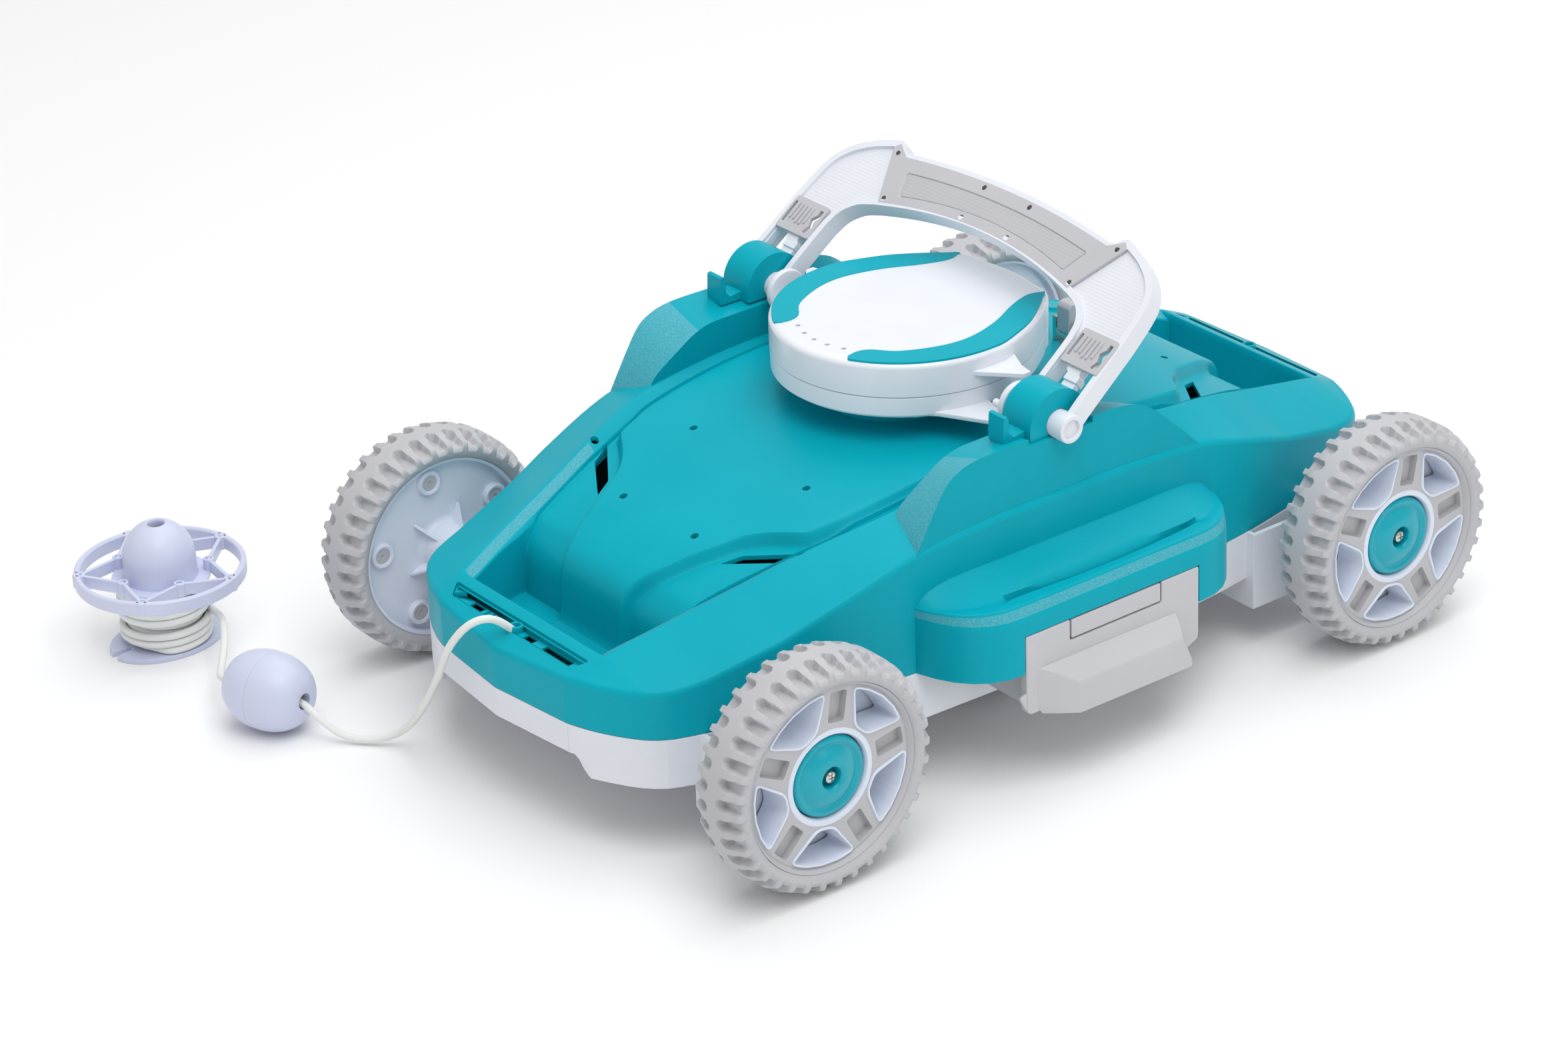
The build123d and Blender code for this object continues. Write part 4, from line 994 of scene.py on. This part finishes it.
def build_grip(sizes):
    """Grip plate of the arch, with its dimpled inner panel and its screws."""
    low = bowed(64.6, 9.6, 76, range(76, -77, -8))
    low[-1] = (-76, 64.6)
    plate = bowed(94.2, 5.6, 80, range(-80, 81, 8))
    plate += [(86.4, 98.2), (89.5, 100.2), (93, 97)] + low
    plate += [(-93, 97), (-89.5, 100.2), (-86.4, 98.2)]
    bm = bmesh.new()
    thickened(bm, sheet(bm, plate, FACE_H + 0.1), 1.9)
    cutter = bmesh.new()
    holes = ((87.4, 94.6), (74.5, 68.0), (18, 96.2), (18.2, 76.0))
    for x, s in holes:
        for side in (1, -1):
            tube(cutter, (side * x, s, 3.2), (side * x, s, 8), 1.5, steps=20)
    inner_panel = bowed(86.4, 5.2, 72, range(-72, 73, 4))
    inner_panel += bowed(72.6, 7.6, 64, range(66, -67, -4))
    slab(cutter, rounded(inner_panel, 1.2, 1), 3.55, 9)
    outwards(bm)
    bm = carve(bm, cutter)
    for face in bm.faces:
        if face.calc_area() > 1500 and face.calc_center_median().z > 3.3 and face.normal.z > 0.9:
            face.material_index = 1 if face.calc_center_median().z < 3.8 else 0
    slab(bm, [(x * 0.982, s + (84 - s) * 0.07) for x, s in inner_panel], 3.2, 3.95, mat=1)
    # discs in the holes: screw heads whose dark colour is painted shade in the holes
    for x, s in holes:
        for side in (1, -1):
            spot = Matrix.Translation((side * x, s, 0))
            turned(bm, [(0, 3.3), (1.5, 3.3), (1.5, 4.1), (0, 4.1), (0, 3.3)], spot, 20, mat=2)
    bmesh.ops.transform(bm, matrix=SLOPE, verts=bm.verts)
    outwards(bm)
    placed(bm, "grip_plate_look", "arch", "grip_grey",
           [FINISH["grey"], FINISH["grip"], FINISH["screw"]],
           ["arch_grip_plate", "grip_plate_screws"], bevel=0.35, segments=2, bevel_angle=40)


def build_latches(sizes):
    """Ribbed grey slides on the arms, with the white bolts under them."""
    for name, centre in (("right", 117.0), ("left", -115.2)):
        bm = bmesh.new()
        plate = [(-13.6, 29), (13.6, 29), (13.6, 46), (12.8, 50), (-12.8, 50), (-13.6, 46)]
        slab(bm, rounded([(centre + x, s) for x, s in plate], 1.2), FACE_H + 0.3, FACE_H + 2.6)
        cutter = bmesh.new()
        slab(cutter, rounded(oblong(centre - 12.2, 33, centre - 10.4, 46.5), 0.6), 0, 12)
        window = [(6.6, 31.5), (10.0, 31.5), (11.6, 35.5), (9.6, 39.5), (11.6, 42.2),
                  (11.2, 46.8), (8.6, 46.8), (8.9, 43.4), (6.2, 40.2), (8.4, 36)]
        slab(cutter, rounded([(centre + x, s) for x, s in window], 0.7), 0, 12)
        outwards(bm)
        bm = carve(bm, cutter)
        for step in range(5):
            x = centre - 7.8 + 3.0 * step
            low = 36.0 if step in (0, 1, 4) else 34.5
            slab(bm, rounded(oblong(x - 0.75, low, x + 0.75, 46.5), 0.7), FACE_H + 2.2,
                 FACE_H + 3.5)
        bmesh.ops.transform(bm, matrix=SLOPE, verts=bm.verts)
        outwards(bm)
        placed(bm, f"latch_look_{name}", f"latch_{name}", "grip_grey", [FINISH["grey"]],
               [f"arch_latch_{name}"], bevel=0.4, segments=2, bevel_angle=40)
        bm = bmesh.new()
        side = 1 if centre > 0 else -1
        rod = [(-11, 36.5), (-11, 31.5), (-5.0, 31.5), (-5.0, 27.0), (-3.0, 25.4), (-3.0, 21.5),
               (6.6, 21.5), (6.6, 25.0), (4.6, 27.0), (4.6, 31.5), (11, 31.5), (11, 36.5)]
        slab(bm, [(side * 114 + x, s) for x, s in rod], FACE_H - 5.6, FACE_H + 0.5)
        slab(bm, oblong(side * 114 - 2.6, 8, side * 114 + 6.2, 24), FACE_H - 4.6, FACE_H - 0.6)
        bmesh.ops.transform(bm, matrix=SLOPE, verts=bm.verts)
        outwards(bm)
        placed(bm, f"bolt_look_{name}", f"latch_{name}", "arch_white", [FINISH["arch"]],
               [f"arch_bolt_{name}"], bevel=0.5, segments=2, bevel_angle=40)


def build_caps(sizes):
    """Domed pivot caps with their split line and hooked press tab."""
    for name, side in (("right", 1), ("left", -1)):
        bm = bmesh.new()
        dome = [(18.3 * cos(a), 18.3 * sin(a)) for a in (pi * k / 28 for k in range(29))]
        outline = dome + [(-18.3, -5.2), (18.3, -5.2)]
        side_slab(bm, side, outline, 103.6, 125.4, PIVOT_Z)
        hook = [(-31.6, 181.4), (-29.6, 181.9), (-28.6, 180.6), (-28.4, 172.4), (-25.6, 169.6),
                (-18, 170.6), (-17, 166.0), (-31.8, 166.2), (-32.3, 170)]
        side_slab(bm, side, hook, 109.6, 121.2)
        outwards(bm)
        cutter = bmesh.new()
        tube(cutter, (side * 95, 0, PIVOT_Z), (side * 135, 0, PIVOT_Z), PIVOT_R + 0.35, steps=32)
        bm = carve(bm, cutter)
        placed(bm, f"pivot_cap_look_{name}", "chassis", "teal_shell", [FINISH["teal"]],
               [f"pivot_cap_{name}"], bevel=1.6, segments=4, bevel_angle=40)


DOOR_X0, DOOR_X1, TRAY_X0 = 160.0, 165.5, 92.2
DOOR = [(-56.4, 43.5), (-54, 41.2), (50.5, 41.2), (57.8, 44.5), (58.4, 47), (58.4, 85.5),
        (33.2, 85.5), (33.2, 73.9), (-27.8, 73.9), (-27.8, 85.5), (-56.4, 85.5)]
# outlines of the pull block from its foot outwards: (distance out, points)
PULL_BLOCK = (
    (165.2, [(-49.5, 66.2), (-50.5, 44), (-47, 39), (46, 36.8), (47.2, 40), (42.5, 65.6)]),
    (171.0, [(-40.5, 62.5), (-41.5, 45), (-39, 38.5), (45.2, 37.4), (45.4, 41), (40.4, 62)]),
    (175.8, [(-31.0, 55.6), (-30.8, 44), (-30.2, 37.6), (45.0, 36.9), (45.0, 41), (38.4, 55.8)]))


def door_mesh(side):
    """Door with its pull block, the seat behind the tab and the hook at its front foot."""
    bm = bmesh.new()
    side_slab(bm, side, DOOR, DOOR_X0, DOOR_X1)
    side_slab(bm, side, oblong(-29, 73, 34.5, 85.2), 158.4, 160.3)
    rings = [[bm.verts.new((side * x, y, z)) for y, z in points] for x, points in PULL_BLOCK]
    for lower, upper in zip(rings, rings[1:]):
        count = len(lower)
        for k in range(count):
            bm.faces.new((lower[k], lower[(k + 1) % count], upper[(k + 1) % count], upper[k]))
    bm.faces.new(rings[-1])
    bm.faces.new(rings[0][::-1])
    side_slab(bm, side, [(-60.5, 52), (-56, 54), (-55.6, 43), (-58, 46.5)], 162.6, 165.2)
    outwards(bm)
    return bm


def tray_mesh(side):
    """Open tray behind the door."""
    bm = bmesh.new()
    tray = oblong(side * TRAY_X0, -52.8, side * (DOOR_X0 + 0.2), 54.8)
    rim_face = sheet(bm, rounded(tray, 5), 79.8)
    bmesh.ops.inset_region(bm, faces=[rim_face], thickness=1.6, use_even_offset=True,
                           use_boundary=True)
    low = new_verts(bmesh.ops.extrude_face_region(bm, geom=[rim_face]))
    bmesh.ops.delete(bm, geom=[rim_face], context="FACES_ONLY")
    bmesh.ops.translate(bm, verts=low, vec=(0, 0, -34))
    border = [e for e in bm.edges if e.is_boundary]
    low = new_verts(bmesh.ops.extrude_edge_only(bm, edges=border))
    bmesh.ops.translate(bm, verts=low, vec=(0, 0, -36))
    bmesh.ops.holes_fill(bm, edges=[e for e in bm.edges if e.is_boundary])
    outwards(bm)
    return bm


def tab_mesh(side):
    """Release tab in the door's notch."""
    bm = bmesh.new()
    slab(bm, rounded([(side * y, z) for y, z in oblong(-26.8, 74.9, 32.2, 85.1)], 0.8), 162.8,
         165.4, sideways(side))
    outwards(bm)
    return bm


def build_drawers(sizes):
    """Grey drawers: door with its tab seat, stepped pull block and open tray behind."""
    for name, side in (("right", 1), ("left", -1)):
        placed(door_mesh(side), f"door_look_{name}", f"drawer_{name}", "door_grey",
               [FINISH["door"]], [f"filter_drawer_{name}"], bevel=1.3, segments=4,
               bevel_angle=28)
        placed(tray_mesh(side), f"tray_look_{name}", f"drawer_{name}", "door_grey",
               [FINISH["door"]], bevel=0.5, segments=2, bevel_angle=40)
        placed(tab_mesh(side), f"tab_look_{name}", f"tab_{name}", "door_grey",
               [FINISH["door"]], [f"drawer_tab_{name}"], bevel=0.5, segments=3, bevel_angle=40)
        keep(f"filter_screen_{name}", FINISH["mesh"])


# ---------------------------------------------------------------- front tray and rear lever
SLOT_FLOOR_Z = 90.4


def build_slots(sizes):
    """Trays behind the nose slots, with their dark openings and the cord's boss."""
    bm = bmesh.new()
    for sy in (-1, 1):
        mouth = [(-56.6, -243.3), (56.6, -243.3), (50.8, -250.2), (-50.8, -250.2)]
        face = sheet(bm, [(x, -sy * y) for x, y in rounded(mouth, 2.4)], 0)
        for vert in face.verts:
            vert.co.z = frame_top(0, -abs(vert.co.y)) - 1.4
        low = new_verts(bmesh.ops.extrude_face_region(bm, geom=[face]))
        bmesh.ops.delete(bm, geom=[face], context="FACES_ONLY")
        for vert in low:
            vert.co.z = SLOT_FLOOR_Z
            vert.co.x *= 0.985
    outwards(bm)
    bmesh.ops.reverse_faces(bm, faces=bm.faces)
    bmesh.ops.solidify(bm, geom=bm.faces[:], thickness=-1.2)
    outwards(bm)
    cutter = bmesh.new()
    gaps = [[(-53, -244.4), (-46, -244.4), (-51, -249.2)]]
    gaps += [oblong(x0, -244.8, x1, -248.8) for x0, x1 in ((-38, -28.5), (8, 16), (24, 47))]
    gaps += [oblong(x, -245, x + 1.3, -249) for x in (-25.5, -21.5, -17.5)]
    for sy in (-1, 1):
        for gap in gaps:
            slab(cutter, [(x, -sy * y) for x, y in gap], 84, 94)
    bm = carve(bm, cutter)
    for sy in (-1, 1):
        boss = Matrix.Translation((0, sy * 246.8, 89))
        turned(bm, [(2.3, 0), (2.3, 5.6), (2.9, 6.2), (3.7, 5.8), (3.9, 5.0), (3.9, 0), (2.3, 0)],
               boss, 32)
    outwards(bm)
    placed(bm, "nose_slot_trays", "chassis", "teal_shell", [FINISH["teal"]], angle=35)
    # near-black blocks under the slot trays: painted shade, standing for the shadowed inside of
    # the body seen through the openings
    bm = bmesh.new()
    block(bm, (-58, -251, 74), (58, -240, 76))
    block(bm, (-58, 240, 74), (58, 251, 76))
    placed(bm, "painted_shade_under_slots", "chassis", "inner_plastic", [FINISH["black"]], bevel=0.4)

    bm = bmesh.new()
    grip = [(111.5, 143.5), (113.2, 141.6), (121.2, 141.6), (122.4, 143.5), (122.2, 157.4),
            (119.8, 160.2), (113.8, 160.2), (111.8, 158)]
    side_slab(bm, 1, grip, -5, 5)
    outwards(bm)
    placed(bm, "rear_lever_look", "rear_lever", "grip_grey", [FINISH["grey"]], ["rear_lever"],
           bevel=0.9, segments=3)
    keep("lever_bracket", FINISH["steel"], bevel=0.4, segments=2)


# ---------------------------------------------------------------- cord, float and reel
# route of the cord from the nose to the reel
CORD_POINTS = [(0, -247, 90), (-1, -256, 102), (-6, -269.5, 102.5), (-18, -276, 86),
               (-36, -271, 61), (-57, -268, 33), (-77, -268, 10), (-90, -279, 2.6),
               (-103, -290.5, 4), (-113, -298, 14), (-122.98, -301.68, 21.3),
               (-143, -308, 21.7), (-163.02, -314.32, 21.3), (-176, -317.5, 18),
               (-190, -309, 13.5), (-203, -298, 18), (-217, -289, 23), (-231, -283, 21.5),
               (-243.2, -279.6, 18)]
REEL_X, REEL_Y = -262.0, -299.0
TURN_POINTS = 16           # points of one turn of the winding


def winding_points():
    """Turns of the cord on the reel: outer turns up, inner turns down, outer turns up."""
    made = []
    angle, height = radians(62), 18.6
    for turns, radius, climb in ((3.75, 23.4, 4.25), (7.0, 19.3, -4.2), (2.6, 23.4, 4.25)):
        for step in range(round(turns * TURN_POINTS)):
            made.append((REEL_X + radius * cos(angle), REEL_Y + radius * sin(angle), height))
            angle += 2 * pi / TURN_POINTS
            height += climb / TURN_POINTS
    return made


def build_reel(sizes):
    """Finger reel: ring with a five-point star of ribs, dome, core and forked foot."""
    bm = bmesh.new()
    axis = Matrix.Translation((REEL_X, REEL_Y, 0))
    turned(bm, [(42.6, 38.8), (43.4, 38), (45.2, 38), (46, 38.8), (46, 45.2), (45.2, 46),
                (43.4, 46), (42.6, 45.2), (42.6, 38.8)], axis, 120)
    dome = [(19.6 * cos(t), 50.5 + 20.8 * sin(t)) for t in
            [radians(76) * k / 16 for k in range(17)]]
    turned(bm, [(4.2, 60), (20, 38.6), (20.2, 39.2), (19.8, 41)] + dome[:-1]
           + [(5.6, 70.7), (4.8, 70.3), (4.2, 69), (4.2, 60)], axis, 96)
    turned(bm, [(4.0, 3), (17, 3), (17, 39), (4.0, 39), (4.0, 3)], axis, 64)
    turned(bm, [(20, 38.2), (26.5, 38.2), (26.5, 39.6), (20, 39.6), (20, 38.2)], axis, 64)
    outer, inner = [], []
    for step in range(5):
        for made, radius, angle in ((outer, 43.2, 100), (inner, 26.0, 136)):
            turn = radians(angle + 72 * step)
            made.append(Vector((REEL_X + radius * cos(turn), REEL_Y + radius * sin(turn))))
    for step in range(5):
        for end in (inner[step], inner[step - 1]):
            start = outer[step]
            along = (end - start).normalized()
            wide = Vector((-along.y, along.x)) * 1.05
            slab(bm, [tuple(start + wide), tuple(start - wide), tuple(end - wide),
                      tuple(end + wide)], 38.6, 45.4)
        for node_at, radius in ((outer[step], 3.5), (inner[step], 3.1)):
            spot = Matrix.Translation((node_at.x, node_at.y, 0))
            turned(bm, [(1.7, 44.2), (1.7, 46.0), (radius - 0.4, 46.0), (radius, 45.6),
                        (radius, 38.4), (0, 38.2), (0, 44.2), (1.7, 44.2)], spot, 24)
    foot = [(REEL_X + 24 * cos(t), REEL_Y + 33 * sin(t)) for t in
            [radians(-84) + radians(348) * k / 40 for k in range(41)]]
    foot += [(REEL_X - 1.2, REEL_Y - 22), (REEL_X + 1.2, REEL_Y - 22)]
    slab(bm, foot, 0.1, 2.9)
    outwards(bm)
    return placed(bm, "reel_look", "chassis", "float_white", [FINISH["pale"]], ["cord_reel"],
                  bevel=0.55, segments=3, bevel_angle=40)


def build_cord(sizes):
    """Braided float cord: one smooth line out of the nose, through the float, on to the reel."""
    curve = bpy.data.curves.new("float_cord_look", "CURVE")
    curve.dimensions = "3D"
    curve.bevel_depth = sizes.cord_diameter / 2
    curve.bevel_resolution = 4
    curve.resolution_u = 6
    curve.use_fill_caps = True
    spline = curve.splines.new("NURBS")
    points = CORD_POINTS + winding_points()
    spline.points.add(len(points) - 1)
    for point, (x, y, z) in zip(spline.points, points):
        point.co = (x * MM, y * MM, z * MM, 1)
    spline.order_u = 3
    spline.use_endpoint_u = True
    curve.materials.append(FINISH["cord"])
    cord = bpy.data.objects.new("float_cord_look", curve)
    bpy.context.scene.collection.objects.link(cord)
    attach(cord, "chassis")
    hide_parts("float_cord", "cord_winding")
    for name in ("float_half_near", "float_half_far"):
        keep(name, FINISH["pale"], bevel=0.5, segments=3)
    reel = build_reel(sizes)
    return cord


def build_inner(sizes):
    """Finishes of the parts inside and under the body."""
    keep("bottom_pan", FINISH["white"], bevel=0.7, segments=2)
    for name, finish in (
            ("neck_ring", "teal"), ("pan_screws", "steel"), ("front_axle_stubs", "steel"),
            ("rear_axle_stubs", "steel"), ("head_screws", "steel"), ("head_gasket", "rubber"),
            ("motor_can", "copper"), ("motor_shaft", "steel"), ("shaft_seal", "rubber"),
            ("impeller", "inner"), ("pump_housing", "inner"), ("battery_cells", "cell"),
            ("control_board", "board"), ("cord_knot", "cord"), ("flap_pin", "steel"),
            ("intake_flap", "grey")):
        keep(name, FINISH[finish])


# ---------------------------------------------------------------- stage
# fitted to the photo: direction from the front, height and roll in degrees; metres
CAMERA_ANGLES = (53.0706, 26.7702, -2.2822)
CAMERA_PLACE = (1.72048, -1.37166, 1.18034)
CAMERA_LENS = 107.62
# name, place, size and share of the key light's power
LAMPS = (("key", (0.9, -0.5, 2.4), 1.8, 1.0), ("top", (-0.5, 0.9, 2.4), 2.4, 0.8),
         ("side", (2.4, 0.5, 1.2), 0.7, 0.14))


def build_stage(sizes):
    """Pale floor, soft lights and the camera."""
    bm = bmesh.new()
    bmesh.ops.create_grid(bm, x_segments=8, y_segments=8, size=5000)
    floor = to_object(bm, "studio_floor", [])
    surface = bpy.data.materials.new("studio_floor")
    surface.use_nodes = True
    fill(surface.node_tree.nodes["Principled BSDF"],
         {"Base Color": (0.93, 0.93, 0.93, 1), "Roughness": 0.9})
    floor.data.materials.append(surface)
    world = bpy.data.worlds.new("studio")
    world.use_nodes = True
    fill(world.node_tree.nodes["Background"],
         {"Color": (1, 1, 1, 1), "Strength": sizes.fill_light})
    bpy.context.scene.world = world
    for name, place, size, share in LAMPS:
        light = bpy.data.lights.new(name, "AREA")
        light.shape = "SQUARE"
        light.size = size
        light.energy = sizes.key_light * share
        lamp = bpy.data.objects.new(name, light)
        lamp.location = place
        lamp.rotation_euler = (Vector((0, 0, 0.08)) - Vector(place)).to_track_quat(
            "-Z", "Y").to_euler()
        bpy.context.scene.collection.objects.link(lamp)
    a, e, roll = (radians(angle) for angle in CAMERA_ANGLES)
    back = Vector((sin(a) * cos(e), -cos(a) * cos(e), sin(e)))
    right = Vector((cos(a), sin(a), 0))
    up = Vector((-sin(a) * sin(e), cos(a) * sin(e), cos(e)))
    across = cos(roll) * right + sin(roll) * up
    upright = -sin(roll) * right + cos(roll) * up
    camera = bpy.data.cameras.new("camera")
    camera.lens = CAMERA_LENS
    camera.sensor_width = 36.0
    camera.clip_start = 0.05
    camera.clip_end = 50
    view = bpy.data.objects.new("camera", camera)
    turn = Matrix((across, upright, back)).transposed().to_4x4()
    view.matrix_world = Matrix.Translation(CAMERA_PLACE) @ turn
    bpy.context.scene.collection.objects.link(view)
    bpy.context.scene.camera = view
    bpy.context.scene.view_settings.view_transform = "Standard"


# ---------------------------------------------------------------- add-on
class PoolCleanerSizes(bpy.types.PropertyGroup):
    """Sizes and colours of the cleaner that a user would change."""
    body_colour: FloatVectorProperty(
        name="Body", description="Colour of the body shell", subtype="COLOR", size=3,
        min=0, max=1, default=srgb(0, 165, 183))
    pan_colour: FloatVectorProperty(
        name="White parts", description="Colour of the pan, head and arch", subtype="COLOR",
        size=3, min=0, max=1, default=srgb(225, 228, 235))
    grey_colour: FloatVectorProperty(
        name="Grey parts", description="Colour of tyres, grip and doors", subtype="COLOR",
        size=3, min=0, max=1, default=srgb(190, 190, 194))
    float_colour: FloatVectorProperty(
        name="Float and reel", description="Colour of the float and reel", subtype="COLOR",
        size=3, min=0, max=1, default=srgb(206, 211, 234))
    cord_diameter: FloatProperty(
        name="Cord diameter", description="Thickness of the float cord", unit="LENGTH",
        min=0.001, max=0.01, default=0.004)
    cord_length: FloatProperty(
        name="Cord length", description="Whole length of the float cord", unit="LENGTH",
        min=0.3, max=10, default=2.1)
    spoke_turn: FloatProperty(
        name="Spoke turn", description="Resting turn of the wheels' spokes in degrees",
        min=0, max=72, default=9)
    key_light: FloatProperty(
        name="Key light", description="Power of the main light", unit="POWER", min=0, max=500,
        default=31)
    fill_light: FloatProperty(
        name="Fill light", description="Strength of the light all round", min=0, max=5,
        default=0.53)


def operator(idname, label, doc, build):
    """Operator class that builds one group of pieces."""
    def execute(self, context):
        sizes = context.scene.pool_cleaner
        if not FINISH:
            mix_finishes(sizes)
        build(sizes)
        return {"FINISHED"}
    name = "POOL_OT_" + idname
    return type(name, (bpy.types.Operator,),
                {"bl_idname": "pool." + idname, "bl_label": label, "__doc__": doc,
                 "execute": execute})


OPERATORS = (
    operator("stage", "Stage", "Floor, lights and camera", build_stage),
    operator("cord", "Float Cord", "Cord, float and reel", build_cord),
    operator("shell", "Body Shell", "Top shell with its deck", build_shell),
    operator("skirt", "Skirt", "White skirt under the body", build_skirt),
    operator("fins", "Pivot Fins", "Fins that carry the arch", build_fins),
    operator("pods", "Side Pods", "Pods between the wheels", build_pods),
    operator("slots", "Slots and Lever", "Nose slots and rear lever", build_slots),
    operator("wheels", "Wheels", "Tyres, rims and caps", build_wheels),
    operator("head", "Pump Head", "Head, cover and crescents", build_head),
    operator("arch", "Arch", "Swinging arch", build_arch),
    operator("grip", "Grip Plate", "Grip plate on the arch", build_grip),
    operator("latches", "Latches", "Slides and bolts on the arch", build_latches),
    operator("caps", "Pivot Caps", "Caps over the arch's pivots", build_caps),
    operator("drawers", "Drawers", "Filter drawers and tabs", build_drawers),
    operator("inner", "Inner Parts", "Finishes of the hidden parts", build_inner),
)


class POOL_PT_build(bpy.types.Panel):
    """Lists the cleaner's pieces in the sidebar."""
    bl_label = "Pool Cleaner"
    bl_idname = "POOL_PT_build"
    bl_space_type = "VIEW_3D"
    bl_region_type = "UI"
    bl_category = "Pool Cleaner"

    def draw(self, context):
        column = self.layout.column()
        for name in PoolCleanerSizes.__annotations__:
            column.prop(context.scene.pool_cleaner, name)
        for made in OPERATORS:
            column.operator(made.bl_idname)


CLASSES = (PoolCleanerSizes, *OPERATORS, POOL_PT_build)


def register():
    for made in CLASSES:
        bpy.utils.register_class(made)
    bpy.types.Scene.pool_cleaner = PointerProperty(type=PoolCleanerSizes)


def unregister():
    del bpy.types.Scene.pool_cleaner
    for made in reversed(CLASSES):
        bpy.utils.unregister_class(made)


def main():
    """Builds everything and writes the sizes of the CAD box and of the finished model."""
    register()
    for made in OPERATORS:
        getattr(bpy.ops.pool, made.bl_idname.split(".")[1])()


if __name__ == "__main__":
    main()
